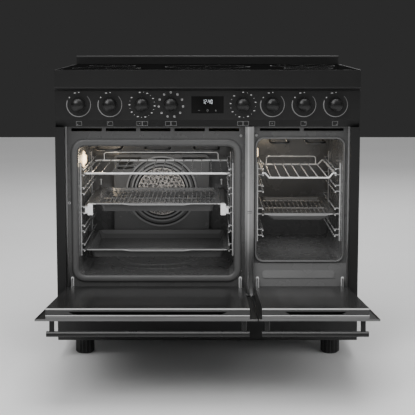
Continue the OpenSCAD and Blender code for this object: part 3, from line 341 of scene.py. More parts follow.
enamels = {
    # dark tone, light tone, fleck tone, roughness from, to
    "oven_enamel": (0.075, 0.095, 0.12, 0.24, 0.29),
    "front_enamel": (0.029, 0.036, 0.06, 0.22, 0.3),
    "aux_front_enamel": (0.034, 0.042, 0.07, 0.22, 0.3),
    # painted light: the fan cover is the cavity's enamel painted lighter
    "cover_enamel": (0.10, 0.125, 0.16, 0.22, 0.28),
    # painted light: the pressed rings, the sill's pressed panel and the floor's ring are the
    # enamel round them painted lighter
    "lit_ring_enamel": (0.2, 0.25, 0.3, 0.2, 0.28),
    "lit_sill_enamel": (0.095, 0.115, 0.14, 0.2, 0.28),
    "lit_floor_ring_enamel": (0.13, 0.16, 0.2, 0.2, 0.28),
    "tray_enamel": (0.045, 0.055, 0.08, 0.2, 0.27),
}
glaze = {
    "cloud": 5, "peel": 150, "flecks": 1300, "wear": 18,   # per metre
    "fleckFrom": 0.62, "fleckTo": 0.7, "fleckShare": 0.8,
    "relief": 0.05, "depth": 0.0004, "coat": 0.3, "coatRough": 0.1, "gloss": 0.4,
}


def enamel(name, dark, light, fleck, roughLow, roughHigh):
    made = Finish(name)
    ground = made.tint(made.between(made.noise(glaze["cloud"]), 0, 1), grey(dark), grey(light))
    flecks = made.between(made.noise(glaze["flecks"], 1), 0, glaze["fleckShare"],
                          glaze["fleckFrom"], glaze["fleckTo"])
    speckled = made.tint(flecks, ground, grey(fleck))
    made.set(Base_Color=withDetail(made, name, speckled),
             Roughness=made.between(made.noise(glaze["wear"], 4), roughLow, roughHigh),
             Normal=made.bump(made.noise(glaze["peel"], 2), glaze["relief"], glaze["depth"]))
    return made.set(Coat_Weight=glaze["coat"], Coat_Roughness=glaze["coatRough"],
                    Specular_IOR_Level=glaze["gloss"])


ovenFloors = {
    "front": 0.05, "back": 0.12, "frontAt": 0.0, "backAt": 0.14,   # tones, and where they are in Y
    "divide": 0.14,                   # X between the two ovens
    "main": 0.2515, "aux": 0.2975,    # below these heights the enamel is floor
}


def shadedFloors(made, colour):   # painted shade: the ovens' floors are painted darker towards the front
    across, back, up = made.axes("XYZ")
    floor = (up < ovenFloors["main"]) + (across > ovenFloors["divide"]) * (up < ovenFloors["aux"])
    floorShade = made.tint(made.between(back, 0, 1, ovenFloors["frontAt"], ovenFloors["backAt"]),
                     grey(ovenFloors["front"]), grey(ovenFloors["back"]))
    return made.tint(floor, colour, floorShade)


auxSill = {"top": 0.286, "tone": 0.085}


def paleSill(made, colour):   # the front below the small oven is paler
    return made.tint(made.axes("Z")[0] < auxSill["top"], colour, grey(auxSill["tone"]))


trayTones = {
    "small": 0.1, "inside": 0.085, "lying": 0.3,   # faces whose normal rises above this are painted lighter, as painted light from above
    "back": 0.13, "backFrom": 0.33, "rim": 0.2, "rimFront": -0.0002,
}


def litTrays(made, colour):   # painted light: faces looking up are painted lighter and the back is lighter, with a painted highlight along the front rim; the small oven's tray has its own tone
    across, back = made.axes("XY")
    facing = made.node("ShaderNodeTexCoord", {}, {}, "Normal")
    rise = made.node("ShaderNodeSeparateXYZ", {}, {"Vector": facing}, "Z")
    colour = made.tint(across > ovenFloors["divide"], colour, grey(trayTones["small"]))
    colour = made.tint(rise > trayTones["lying"], colour, grey(trayTones["inside"]))
    colour = made.tint(back > trayTones["backFrom"], colour, grey(trayTones["back"]))
    return made.tint(back < trayTones["rimFront"], colour, grey(trayTones["rim"]))


fanGrille = {
    "x": -0.1535, "z": 0.448, "radius": 0.079, "warm": 0.06,
    "dark": 0.03, "light": 0.5, "holes": 420, "holeFrom": 0.4, "holeTo": 0.6,
    "ring": 0.0012, "ringTone": 0.6,
    # painted shade in the grooves between the pressed rings: inner and outer radius
    "grooves": ((0.079, 0.0849), (0.0915, 0.0964), (0.1085, 0.1134)), "grooveShade": 0.022,
}
coverSlots = {
    # left end, right end, height
    "places": ((-0.300, -0.2536, 0.5385), (-0.300, -0.2635, 0.5235)),
    "half": 0.0022, "tone": 0.008,
}


def piercedCover(made, colour):   # bare pierced metal in the middle, with painted shade in the grooves and dark slots round it
    across, up = made.axes("XZ")
    warm, radius = fanGrille["warm"], fanGrille["radius"]
    away = ((across - fanGrille["x"]) ** 2 + (up - fanGrille["z"]) ** 2) ** 0.5
    holes = made.between(made.noise(fanGrille["holes"], 2), 0, 1,
                         fanGrille["holeFrom"], fanGrille["holeTo"])
    pierced = made.tint(holes, grey(fanGrille["dark"], warm), grey(fanGrille["light"], warm))
    edged = made.tint(away > radius - fanGrille["ring"], pierced,
                      grey(fanGrille["ringTone"], warm))
    colour = made.tint(away < radius, colour, edged)
    for inner, outer in fanGrille["grooves"]:
        colour = made.tint((away > inner) * (away < outer), colour, grey(fanGrille["grooveShade"]))
    for left, right, height in coverSlots["places"]:
        slot = (across > left) * (across < right) * (abs(up - height) < coverSlots["half"])
        colour = made.tint(slot, colour, grey(coverSlots["tone"]))
    return colour


# metals
brushedMetals = {
    # dark tone, light tone, roughness from, to, stretch of the brush lines, metallic
    "bright_trim": (0.34, 0.56, 0.26, 0.42, (260, 260, 3), 1.0),
    "bright_steel": (0.66, 0.82, 0.26, 0.42, (200, 3, 200), 0.45),
    "runner_steel": (0.66, 0.82, 0.26, 0.42, (200, 3, 200), 0.45),
    "bare_steel": (0.36, 0.52, 0.36, 0.55, (9, 9, 9), 1.0),
    "coil_tray": (0.5, 0.62, 0.34, 0.5, (120, 4, 120), 1.0),
    "heating_tube": (0.07, 0.13, 0.42, 0.6, (60, 60, 60), 0.8),
    "copper": ((0.5, 0.25, 0.12), (0.62, 0.3286, 0.186), 0.25, 0.4, (200, 200, 200), 1.0),
    "chrome_wire": (0.7, 0.86, 0.1, 0.22, (30, 30, 30), 0.4),
    "shelf_wire": (0.7, 0.86, 0.1, 0.22, (30, 30, 30), 0.4),
    "ladder_wire": (0.4, 0.52, 0.12, 0.24, (30, 30, 30), 0.45),
    "grid_wire": (0.16, 0.22, 0.2, 0.34, (30, 30, 30), 0.4),
}
brush = {"stains": 14, "relief": 0.08, "depth": 0.0002}


def brushedMetal(name, dark, light, roughLow, roughHigh, stretch, metallic):
    made = Finish(name)
    lines, stains = made.noise(1, 3, stretch), made.noise(brush["stains"], 5)
    tones = [tone if isinstance(tone, tuple) else grey(tone) for tone in (dark, light)]
    colour = made.tint(made.between(lines * 0.6 + stains * 0.4, 0, 1), *tones)
    made.set(Base_Color=withDetail(made, name, colour),
             Roughness=made.between(stains * 0.5 + lines * 0.5, roughLow, roughHigh),
             Normal=made.bump(lines, brush["relief"], brush["depth"]))
    return made.set(Metallic=metallic)


shelfRails = {"front": 0.012, "back": 0.335, "tone": 0.16}
runnerBody = {"front": 0.016, "peg": 0.474, "tone": 0.1}
trims = {
    "stripFrom": 0.4, "stripTone": 0.6,   # beyond this from the middle are the strips at the sides
    "line": (0.1195, 0.1235), "lineTone": 0.75,
    "ticks": (0.4425, 0.4475), "tickHalf": 0.0009, "tickTo": 0.1335, "tickTone": 0.14,
}


def shadedShelfWires(made, colour):   # painted shade: the wires between the shelf's front and back are painted darker
    back = made.axes("Y")[0]
    inside = (back > shelfRails["front"]) * (back < shelfRails["back"])
    return made.tint(inside, colour, grey(shelfRails["tone"]))


def darkRunners(made, colour):   # all but the shoes in front and the pegs on top
    back, up = made.axes("YZ")
    body = (back > runnerBody["front"]) * (up < runnerBody["peg"])
    return made.tint(body, colour, grey(runnerBody["tone"]))


def foldedPost(made, colour):   # the post between the ovens shows a bright fold and two dark ticks
    across, up = made.axes("XZ")
    left, right = trims["line"]
    colour = made.tint(abs(across) > trims["stripFrom"], colour, grey(trims["stripTone"]))
    colour = made.tint((across > left) * (across < right), colour, grey(trims["lineTone"]))
    ticks = sum(abs(up - height) < trims["tickHalf"] for height in trims["ticks"])
    onPost = (across > left) * (across < trims["tickTo"])
    return made.tint(ticks * onPost, colour, grey(trims["tickTone"]))


hingeSteel = {
    "bright": 0.82, "brightWorn": 0.85, "dark": 0.03, "shadeMottle": 1.8,   # tones, and shares for the arms' wear and the painted shade's mottle
    "plateFront": -0.0302,   # the bright arms stand in front of their plates, painted dark as painted shade seen through the loops
    "brush": (200, 200, 6), "roughLow": 0.28, "roughHigh": 0.4, "metallic": 0.5,
}


def hingeFinish(name, settings):
    made = Finish(name)
    lines, stains = made.noise(1, 3, settings["brush"]), made.noise(brush["stains"], 5)
    bright = made.tint(made.between(lines, 0, 1),
                       grey(settings["bright"] * settings["brightWorn"]), grey(settings["bright"]))
    # painted shade: the plate behind the arms, mottled by the stains
    dark = made.tint(made.between(stains, 0, 1),
                     grey(settings["dark"]), grey(settings["dark"] * settings["shadeMottle"]))
    made.set(Base_Color=made.tint(made.axes("Y")[0] < settings["plateFront"], bright, dark),
             Roughness=made.between(stains, settings["roughLow"], settings["roughHigh"]),
             Normal=made.bump(lines, brush["relief"], brush["depth"]))
    return made.set(Metallic=settings["metallic"])


# glass, lights, wool and the floor
blackGlasses = {
    # base tone, roughness from, to, gloss, clear coat
    "ceramic_glass": (0.003, 0.06, 0.12, 0.0, 0.14),
    "display_glass": (0.0035, 0.05, 0.12, 0.12, 0.0),
}
wipes = {"smears": 9, "stretch": (1, 2.5, 1), "lightShare": 1.6, "waves": 60, "relief": 0.004,
         "depth": 0.0002, "coatRough": 0.05}


def blackGlass(name, tone, roughLow, roughHigh, gloss, coat):
    made = Finish(name)
    smears = made.noise(wipes["smears"], 5, wipes["stretch"])
    made.set(Base_Color=made.tint(made.between(smears, 0, 1), grey(tone),
                                  grey(tone * wipes["lightShare"])),
             Roughness=made.between(smears, roughLow, roughHigh),
             Normal=made.bump(made.noise(wipes["waves"], 2), wipes["relief"], wipes["depth"]))
    return made.set(Specular_IOR_Level=gloss, Coat_Weight=coat, Coat_Roughness=wipes["coatRough"])


doorGlass = {
    "dark": 0.0195, "light": 0.0235, "roughLow": 0.2, "roughHigh": 0.27, "gloss": 0.3,
    "groundEdge": -0.5326, "edgeTone": 0.42,   # the ground edge lies in front of this
    "windows": ((-0.1545, 0.208), (0.2795, 0.083)),   # clear part of a door: middle X, half width
    "from": -0.47, "to": -0.12, "corner": 0.03, "soft": 0.003,   # its front, back and corners
    "border": 0.013,   # tone of the print round it
    "smears": (26, 1.5, 7), "waves": 40, "relief": 0.02, "depth": 0.0005,
}


def tintedGlass(name, settings):
    made = Finish(name)
    smears = made.noise(1, 4, settings["smears"])
    across, back = made.axes("XY")
    middle = (settings["from"] + settings["to"]) / 2
    half = (settings["to"] - settings["from"]) / 2
    corner = settings["corner"]
    inside = 0
    for windowMiddle, windowHalf in settings["windows"]:
        beyondX = made.math("MAXIMUM", abs(across - windowMiddle) - (windowHalf - corner), 0)
        beyondY = made.math("MAXIMUM", abs(back - middle) - (half - corner), 0)
        beyond = (beyondX ** 2 + beyondY ** 2) ** 0.5
        inside += made.between(beyond, 1, 0, corner - settings["soft"], corner)
    clear = made.tint(made.between(smears, 0, 1), grey(settings["dark"]), grey(settings["light"]))
    body = made.tint(inside, grey(settings["border"]), clear)
    made.set(Base_Color=made.tint(back < settings["groundEdge"], body, grey(settings["edgeTone"])),
             Roughness=made.between(smears, settings["roughLow"], settings["roughHigh"]),
             Normal=made.bump(made.noise(settings["waves"], 2), settings["relief"],
                              settings["depth"]))
    return made.set(Specular_IOR_Level=settings["gloss"])


lampGlass = {"dark": (1.0, 0.72, 0.42), "light": (1.0, 0.84, 0.6), "ribs": 160, "power": 2.2}


def frostedLamp(name, settings):
    made = Finish(name)
    ribs = made.noise(settings["ribs"], 2)
    warm = made.tint(made.between(ribs, 0, 1), settings["dark"], settings["light"])
    made.set(Base_Color=warm, Roughness=made.between(ribs, 0.25, 0.4), Emission_Color=warm,
             Normal=made.bump(ribs, 0.3, 0.001))
    return made.set(Emission_Strength=settings["power"])


digitGlow = {"dark": (0.75, 0.8, 0.85), "light": (0.9, 0.94, 1.0), "power": 0.26}


def clockLight(name, settings):
    made = Finish(name)
    glow = made.tint(made.between(made.noise(300, 2), 0, 1), settings["dark"], settings["light"])
    made.set(Base_Color=glow, Roughness=made.between(made.noise(90), 0.3, 0.45),
             Emission_Color=glow)
    return made.set(Emission_Strength=settings["power"])


wool = {
    "dark": (0.36, 0.33, 0.22), "light": (0.52, 0.49, 0.36),
    "clothFrom": 0.672, "clothTone": 0.02,   # the top is faced with dark cloth
}


def looseWool(name, settings):
    made = Finish(name)
    tufts, strands = made.noise(40, 6), made.noise(1, 4, (300, 300, 60))
    loose = made.tint(made.between(tufts, 0, 1), settings["dark"], settings["light"])
    onTop = made.axes("Z")[0] > settings["clothFrom"]
    return made.set(Base_Color=made.tint(onTop, loose, grey(settings["clothTone"])),
                    Roughness=made.between(strands, 0.8, 0.95),
                    Normal=made.bump(tufts * 0.6 + strands * 0.4, 0.8, 0.003))


plaster = {"dark": 0.78, "light": 0.82, "cloud": 0.8, "grain": 220}


def palePlaster(name, settings):
    made = Finish(name)
    cloud = made.between(made.noise(settings["cloud"], 4), 0, 1)
    return made.set(Base_Color=made.tint(cloud, grey(settings["dark"]), grey(settings["light"])),
                    Roughness=made.between(made.noise(6), 0.75, 0.9),
                    Normal=made.bump(made.noise(settings["grain"], 2), 0.05, 0.0005))


details = {
    "feet": footRibHighlights, "handle": handleHighlight, "oven_enamel": shadedFloors,
    "aux_front_enamel": paleSill, "tray_enamel": litTrays, "cover_enamel": piercedCover,
    "shelf_wire": shadedShelfWires, "runner_steel": darkRunners, "bright_trim": foldedPost,
}
finishes = ((powderCoat, powderCoats), (enamel, enamels), (brushedMetal, brushedMetals),
            (blackGlass, blackGlasses))
materials = {name: maker(name, *row) for maker, rows in finishes for name, row in rows.items()}
for name, maker, settings in (("door_panel", doorCoat, doorSteel),
                              ("door_frame", doorCoat, doorSteel),
                              ("hinge_steel", hingeFinish, hingeSteel),
                              ("door_glass", tintedGlass, doorGlass),
                              ("lamp_glass", frostedLamp, lampGlass),
                              ("clockLight", clockLight, digitGlow),
                              ("mineral_wool", looseWool, wool)):
    materials[name] = maker(name, settings)

ownFinish = {   # nodes that look different from the rest of their slot
    "fan_cover": "cover_enamel", "main_front": "front_enamel", "aux_front": "aux_front_enamel",
    "main_shelf": "shelf_wire", "upper_tray_grid": "grid_wire", "aux_tray_grid": "ladder_wire",
    "main_ladders": "ladder_wire", "aux_ladders": "ladder_wire", "hinge_arms": "hinge_steel",
    "runner_rails": "runner_steel", "runner_middles": "runner_steel",
    "runner_sliders": "runner_steel", "lower_fascia": "fascia",
}


def dress(piece, material):
    piece.data.materials.clear()
    piece.data.materials.append(material)


dress(studioFloor, palePlaster("studioFloor", plaster))
for name, node in nodes.items():
    dress(node, materials[ownFinish.get(name, slotOf[name])])
print("finishes set on", len(nodes), "nodes")


# modelling by hand
def chooseFaces(rule):   # in edit mode: selects the faces that pass the rule
    mesh = bmesh.from_edit_mesh(bpy.context.object.data)
    for face in mesh.faces:
        face.select_set(bool(rule(face)))
    bmesh.update_edit_mesh(bpy.context.object.data)


def looksForward(face): return face.normal.y < -0.9
def looksUp(face): return face.normal.z > 0.9


def editAll():
    bpy.ops.object.mode_set(mode="EDIT")
    bpy.ops.mesh.select_all(action="SELECT")


def editFaces(rule):
    bpy.ops.object.mode_set(mode="EDIT")
    bpy.ops.mesh.select_all(action="DESELECT")
    chooseFaces(rule)


def smoothBelow(degrees):
    bpy.ops.object.shade_smooth_by_angle(angle=math.radians(degrees))


def setDown(piece):   # place, turn and scale go into the mesh
    clearSelection()
    piece.select_set(True)
    bpy.context.view_layer.objects.active = piece
    bpy.ops.object.transform_apply(location=True, rotation=True, scale=True)
    return piece


def joined(pieces, name):
    clearSelection()
    for piece in pieces:
        piece.select_set(True)
    bpy.context.view_layer.objects.active = pieces[0]
    bpy.ops.object.join()
    whole = bpy.context.object
    whole.name = name
    return whole


def thicken(piece, thickness):
    clearSelection()
    bpy.context.view_layer.objects.active = piece
    piece.select_set(True)
    wall = piece.modifiers.new("wall", "SOLIDIFY")
    wall.thickness, wall.offset = thickness, 1
    bpy.ops.object.modifier_apply(modifier=wall.name)
    return piece


def pressed(piece, height, rule, steps):   # a thick mark whose outer side is stepped by insets
    thicken(piece, height)
    editFaces(rule)
    for width, depth in steps:
        bpy.ops.mesh.inset(thickness=width, depth=depth)
    bpy.ops.object.mode_set(mode="OBJECT")
    return piece


def ringMark(place, turn, radius, width, fromAngle=0, toAngle=360, taper=0.0, points=96):
    clearSelection()
    bpy.ops.mesh.primitive_circle_add(vertices=points, radius=radius, fill_type="NGON",
                                      location=place, rotation=turn)
    editAll()
    bpy.ops.mesh.inset(thickness=width)
    bpy.ops.mesh.delete(type="FACE")
    sweep = toAngle - fromAngle

    def angleAlong(point):   # degrees from the arc's start
        return (math.degrees(math.atan2(point.y, point.x)) - fromAngle) % 360

    if sweep < 360:
        chooseFaces(lambda face: angleAlong(face.calc_center_median()) > sweep)
        bpy.ops.mesh.delete(type="FACE")
    if taper:   # the arc gets narrower from its inner side
        mesh = bmesh.from_edit_mesh(bpy.context.object.data)
        for point in mesh.verts:
            reach = point.co.length
            if reach < radius - width / 2:
                share = min(1, angleAlong(point.co) / sweep)
                point.co *= (radius - width * (1 - taper * share)) / reach
        bmesh.update_edit_mesh(bpy.context.object.data)
    bpy.ops.object.mode_set(mode="OBJECT")
    return bpy.context.object


def plateMark(place, turn, width, height, corner=0.0):
    clearSelection()
    bpy.ops.mesh.primitive_plane_add(size=1, location=place, rotation=turn)
    bpy.context.object.scale = (width, height, 1)
    bpy.ops.object.transform_apply(location=False, rotation=False, scale=True)
    editAll()
    if corner:
        bpy.ops.mesh.bevel(offset=corner, segments=3, affect="VERTICES")
    bpy.ops.object.mode_set(mode="OBJECT")
    return bpy.context.object


def frameMark(place, turn, width, height, line):
    piece = plateMark(place, turn, width, height)
    editAll()
    bpy.ops.mesh.inset(thickness=line)
    bpy.ops.mesh.delete(type="FACE")
    bpy.ops.object.mode_set(mode="OBJECT")
    return piece


def dotMark(place, turn, radius):
    clearSelection()
    bpy.ops.mesh.primitive_circle_add(vertices=20, radius=radius, fill_type="NGON",
                                      location=place, rotation=turn)
    return bpy.context.object


def printed(pieces, name, material, body, thickness):
    whole = setDown(joined([setDown(piece) for piece in pieces], name))
    thicken(whole, thickness)
    dress(whole, material)
    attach(whole, body)
    return whole


upright = (math.radians(90), 0, 0)   # a flat mark turned to face the front
lying = (0, 0, 0)
knobNumbers = range(1, 9)

hobMarks = {
    # middle in X, distance behind the front edge, diameter
    "zones": ((-0.31, 0.165, 0.21), (-0.31, 0.39, 0.15), (0.0, 0.29, 0.27),
              (0.31, 0.165, 0.15), (0.31, 0.39, 0.21)),
    "line": 0.002, "thickness": 0.00012, "cross": 0.018,
    "lift": 0.00001,   # one stroke of a cross lies this much higher, so that they don't flicker
}


def makeHobMarks(settings):
    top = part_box("hob_glass")[1].z
    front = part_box("front_band")[0].y
    marks = []
    for middle, back, width in settings["zones"]:
        place = (middle, front + back, top)
        marks.append(ringMark(place, lying, width / 2, settings["line"]))
        for turn in (0, math.pi / 2):
            marks.append(plateMark(place, (0, 0, turn), settings["cross"], settings["line"]))
        marks[-1].location.z += settings["lift"]
    return printed(marks, "hobMarks", materials["hobPrint"], "carcass", settings["thickness"])


# the control panel: where its print, its knobs and the signs on its leaning lip are
panel = {"print": 0.0006, "signsBack": 0.0048, "signsUp": 0.0098, "lean": math.atan2(9, 21)}
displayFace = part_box("display")[0].y
panelFront = displayFace + panel["print"]
knobHeight = sum(corner.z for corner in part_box("display")) / 2
lipTurn = (math.radians(90) + panel["lean"], 0, 0)
lipPlace = (panelFront + panel["signsBack"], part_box("control_panel")[0].z + panel["signsUp"])

panelMarks = {"radius": 0.0362, "dot": 0.0016, "thickness": 0.00015}   # of every dial
zoneDials = {
    "arc": (158, 405), "arcWidth": 0.0030, "taper": 0.62,   # degrees round from the right
    "bar": (0.0062, 0.0024, 0.0008), "barAngle": 107,       # width, height, corner
    "dots": ((88, 0.0, 1.0), (141, -0.002, 1.2)),           # angle, shift outwards, share of a dot
}
heatDials = {
    "knobs": {3: (100, -215, 19), 5: (90, -225, 17)},   # first angle, last angle, number of marks
    "shift": 0.001, "dotShare": 0.6, "bar": (0.0052, 0.0026, 0.0008),
}
functionDial = {
    "knob": 4, "from": 90, "step": -32.7, "count": 11,
    "frame": (0.0052, 0.0052, 0.0009), "bar": (0.0034, 0.0009), "shift": 0.0012, "dot": 0.0009,
}
zoneSigns = {
    "frame": (0.0165, 0.0145, 0.0009), "dot": 0.0014,
    "run": 0.39, "rise": 0.92,   # how far a dot goes forwards and up for each step up the lip
    # where the dot is in each knob's frame, across and up
    "single": {1: (-0.004, -0.003), 2: (-0.004, 0.003), 6: (0.0, 0.0),
               7: (0.004, 0.003), 8: (0.004, -0.003)},
    "double": {3: (0.0, 0.0), 4: None, 5: None},   # two frames side by side
}


def polar(middle, radius, degrees):
    turn = math.radians(degrees)
    return (middle[0] + radius * math.cos(turn), panelFront, middle[1] + radius * math.sin(turn))


def makeZoneDial(middle, settings):
    radius, dot = panelMarks["radius"], panelMarks["dot"]
    arc = ringMark((middle[0], panelFront, middle[1]), upright, radius, settings["arcWidth"],
                   *settings["arc"], settings["taper"])
    bright = [plateMark(polar(middle, radius, settings["barAngle"]), upright, *settings["bar"])]
    for angle, shift, share in settings["dots"]:
        bright.append(dotMark(polar(middle, radius + shift, angle), upright, dot * share))
    return arc, bright


def makeHeatDial(middle, settings, fromAngle, toAngle, count):
    marks = []
    for index in range(count):
        angle = fromAngle + (toAngle - fromAngle) * index / (count - 1)
        place = polar(middle, panelMarks["radius"] + settings["shift"], angle)
        if index % 2:
            marks.append(dotMark(place, upright, panelMarks["dot"] * settings["dotShare"]))
        else:
            marks.append(plateMark(place, upright, *settings["bar"]))
    return marks


def makeFunctionDial(middle, settings):   # squares with a bar high, a bar low or a dot, in turn
    marks = []
    for index in range(settings["count"]):
        angle = settings["from"] + settings["step"] * index
        x, y, z = place = polar(middle, panelMarks["radius"], angle)
        marks.append(frameMark(place, upright, *settings["frame"]))
        if index % 3 == 2:
            marks.append(dotMark(place, upright, settings["dot"]))
        else:
            shift = settings["shift"] * (1 - 2 * (index % 3))
            marks.append(plateMark((x, y, z + shift), upright, *settings["bar"]))
    return marks


def makeZoneSign(x, settings, spot):
    y, z = lipPlace
    marks = [frameMark((x, y, z), lipTurn, *settings["frame"])]
    if spot:
        across, along = spot
        place = (x + across, y - along * settings["run"], z + along * settings["rise"])
        marks.append(dotMark(place, lipTurn, settings["dot"]))
    return marks


def makePanelMarks(settings):
    arcs, signs, bright = [], [], []
    half = zoneSigns["frame"][0] / 2
    for index in knobNumbers:
        low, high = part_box("knob_%d" % index)
        middle = ((low.x + high.x) / 2, knobHeight)
        if index in heatDials["knobs"]:
            bright += makeHeatDial(middle, heatDials, *heatDials["knobs"][index])
        elif index == functionDial["knob"]:
            bright += makeFunctionDial(middle, functionDial)
        else:
            arc, dots = makeZoneDial(middle, zoneDials)
            arcs.append(arc)
            bright += dots
        if index in zoneSigns["single"]:
            signs += makeZoneSign(middle[0], zoneSigns, zoneSigns["single"][index])
        else:
            signs += makeZoneSign(middle[0] - half, zoneSigns, zoneSigns["double"][index])
            signs += makeZoneSign(middle[0] + half, zoneSigns, None)
    printed(bright, "dialSigns", materials["brightPrint"], "carcass", settings["thickness"])
    return printed(arcs + signs, "panelMarks", materials["panelPrint"], "carcass",
                   settings["thickness"])


clock = {
    "digits": "1240", "places": (-0.0118, -0.0054, 0.0052, 0.0118), "middleZ": 0.0092,
    "width": 0.0036, "height": 0.0120, "line": 0.0007, "thickness": 0.0001,
    "gap": 1.25, "corner": 0.45,      # shares of the line
    "colonX": 0.0006, "colonHalf": 0.0022, "colonDot": 0.0006,
}
# the bars of a digit: top, upper left, upper right, middle, lower left, lower right, foot
litBars = {"0": "1110111", "1": "0010010", "2": "1011101", "4": "0111010"}
touchSigns = {
    "minusX": -0.0250, "ringX": 0.0, "plusX": 0.0245, "drop": 0.0165, "thickness": 0.0001,
    "bar": (0.0052, 0.0009), "ring": (0.0028, 0.0008), "ringPoints": 32, "lift": 0.00002,
}


def makeClock(settings):
    wide, tall, line = settings["width"] / 2, settings["height"] / 2, settings["line"]
    bars = ((0, tall, False), (-wide, tall / 2, True), (wide, tall / 2, True), (0, 0, False),
            (-wide, -tall / 2, True), (wide, -tall / 2, True), (0, -tall, False))
    middle = knobHeight + settings["middleZ"]
    marks = []
    for digit, across in zip(settings["digits"], settings["places"]):
        for lit, (x, z, standing) in zip(litBars[digit], bars):
            if lit == "1":
                length = (tall if standing else 2 * wide) - line * settings["gap"]
                size = (line, length) if standing else (length, line)
                marks.append(plateMark((across + x, displayFace, middle + z), upright, *size,
                                       line * settings["corner"]))
    for z in (-settings["colonHalf"], settings["colonHalf"]):
        marks.append(dotMark((settings["colonX"], displayFace, middle + z), upright,
                             settings["colonDot"]))
    return printed(marks, "clockDigits", materials["clockLight"], "carcass", settings["thickness"])


def makeTouchSigns(settings):
    height = knobHeight - settings["drop"]
    bar, face = settings["bar"], displayFace
    signs = [plateMark((settings["minusX"], face, height), upright, *bar),
             ringMark((settings["ringX"], face, height), upright, *settings["ring"],
                      points=settings["ringPoints"]),
             plateMark((settings["plusX"], face, height), upright, *bar),
             plateMark((settings["plusX"], face - settings["lift"], height), upright, *bar[::-1])]
    return printed(signs, "touchSigns", materials["panelPrint"], "carcass", settings["thickness"])


# oven seals: a round rubber bead that stands on each front
seals = {
    "mainSeal": {"node": "main_gasket", "rubber": "seal_rubber", "width": 0.02075,
                 "corner": 0.0417},
    "auxSeal": {"node": "aux_gasket", "rubber": "pale_rubber", "width": 0.006, "corner": 0.027},
}
sealShape = {"steps": 10, "cornerSteps": 12, "fullness": 0.7, "smooth": 40}


def makeSeal(name, settings, shape):
    low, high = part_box(settings["node"])
    place = ((low.x + high.x) / 2, high.y, (low.z + high.z) / 2)
    seal = plateMark(place, upright, high.x - low.x, high.z - low.z)
    seal.name = name
    editAll()
    bpy.ops.mesh.bevel(offset=settings["corner"], segments=shape["cornerSteps"],
                       affect="VERTICES")
    bpy.ops.mesh.select_all(action="SELECT")
    depth = high.y - low.y
    before = (0.0, 0.0)
    for step in range(1, shape["steps"] + 1):   # round the bead from its outer to its inner foot
        turn = math.pi * step / shape["steps"]
        rise = depth * math.sin(turn) ** shape["fullness"] if step < shape["steps"] else 0
        now = (settings["width"] / 2 * (1 - math.cos(turn)), rise)
        bpy.ops.mesh.inset(thickness=now[0] - before[0], depth=now[1] - before[1])
        before = now
    bpy.ops.mesh.delete(type="FACE")
    mesh = bmesh.from_edit_mesh(seal.data)
    for edge in mesh.edges:
        edge.select_set(edge.is_boundary)
    bmesh.update_edit_mesh(seal.data)
    bpy.ops.mesh.bridge_edge_loops()
    bpy.ops.mesh.select_all(action="SELECT")
    bpy.ops.mesh.normals_make_consistent(inside=False)
    bpy.ops.object.mode_set(mode="OBJECT")
    smoothBelow(shape["smooth"])
    setDown(seal)
    dress(seal, materials[settings["rubber"]])
    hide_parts(settings["node"])
    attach(seal, "carcass")
    return seal


# rings pressed round the fan's grille, painted lighter than the cover as painted light
coverRings = {"radii": (0.0905, 0.102, 0.119), "width": 0.0056, "height": 0.0026, "crest": 0.3}


def makeCoverRings(settings):
    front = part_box("fan_cover")[0].y
    width, height, crest = settings["width"], settings["height"], settings["crest"]
    rings = []
    for radius in settings["radii"]:
        ring = setDown(ringMark((fanGrille["x"], front, fanGrille["z"]), upright, radius, width))
        rings.append(pressed(ring, height, looksForward, [(width * crest, height * crest)]))
    whole = joined(rings, "coverRings")
    smoothBelow(35)
    dress(whole, materials["lit_ring_enamel"])
    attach(whole, "carcass")
    return whole


# round step pressed into the main oven's floor, painted lighter than the floor as painted light
floorRing = {
    "middle": (-0.1585, 0.2535, 0.250), "radius": 0.1385, "width": 0.005, "height": 0.0016,
    "crestWidth": 0.3, "crestHeight": 0.4, "points": 128,
}


def makeFloorRing(settings):
    width, height = settings["width"], settings["height"]
    ring = setDown(ringMark(settings["middle"], lying, settings["radius"], width,
                            points=settings["points"]))
    ring.name = "floorRing"
    pressed(ring, height, looksUp,
            [(width * settings["crestWidth"], height * settings["crestHeight"])])
    smoothBelow(35)
    dress(ring, materials["lit_floor_ring_enamel"])
    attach(ring, "carcass")
    return ring


# panel pressed into the sill below the small oven, painted lighter than the sill as painted light
sillPress = {
    "left": 0.1655, "right": 0.3820, "low": 0.2405, "high": 0.2645, "corner": 0.008,
    "height": 0.0008, "slope": 0.002, "ridge": 0.001, "share": 0.8,   # a ridge round a low field
}


def makeSillPress(settings):
    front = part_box("aux_front")[0].y
    left, right = settings["left"], settings["right"]
    low, high = settings["low"], settings["high"]
    plate = setDown(plateMark(((left + right) / 2, front, (low + high) / 2), upright,
                              right - left, high - low, settings["corner"]))
    plate.name = "sillPress"
    rise = settings["height"] * settings["share"]
    pressed(plate, settings["height"], looksForward,
            [(settings["slope"], rise), (settings["ridge"], 0), (settings["slope"], -rise)])
    smoothBelow(50)
    dress(plate, materials["lit_sill_enamel"])
    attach(plate, "carcass")
    return plate


# lined hole in the main oven's left strip
stripHole = {
    "x": -0.411, "z": 0.473, "radius": 0.0022, "lip": 0.004, "points": 40,
    "lipThickness": 0.0004, "thickness": 0.0002,
}


def makeStripHole(settings):
    place = (settings["x"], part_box("front_trims")[0].y, settings["z"])
    lip = ringMark(place, upright, settings["lip"], settings["lip"] - settings["radius"],
                   points=settings["points"])
    printed([lip], "stripHoleLip", materials["bare_steel"], "carcass", settings["lipThickness"])
    hole = dotMark(place, upright, settings["radius"])
    return printed([hole], "stripHole", materials["feet"], "carcass", settings["thickness"])


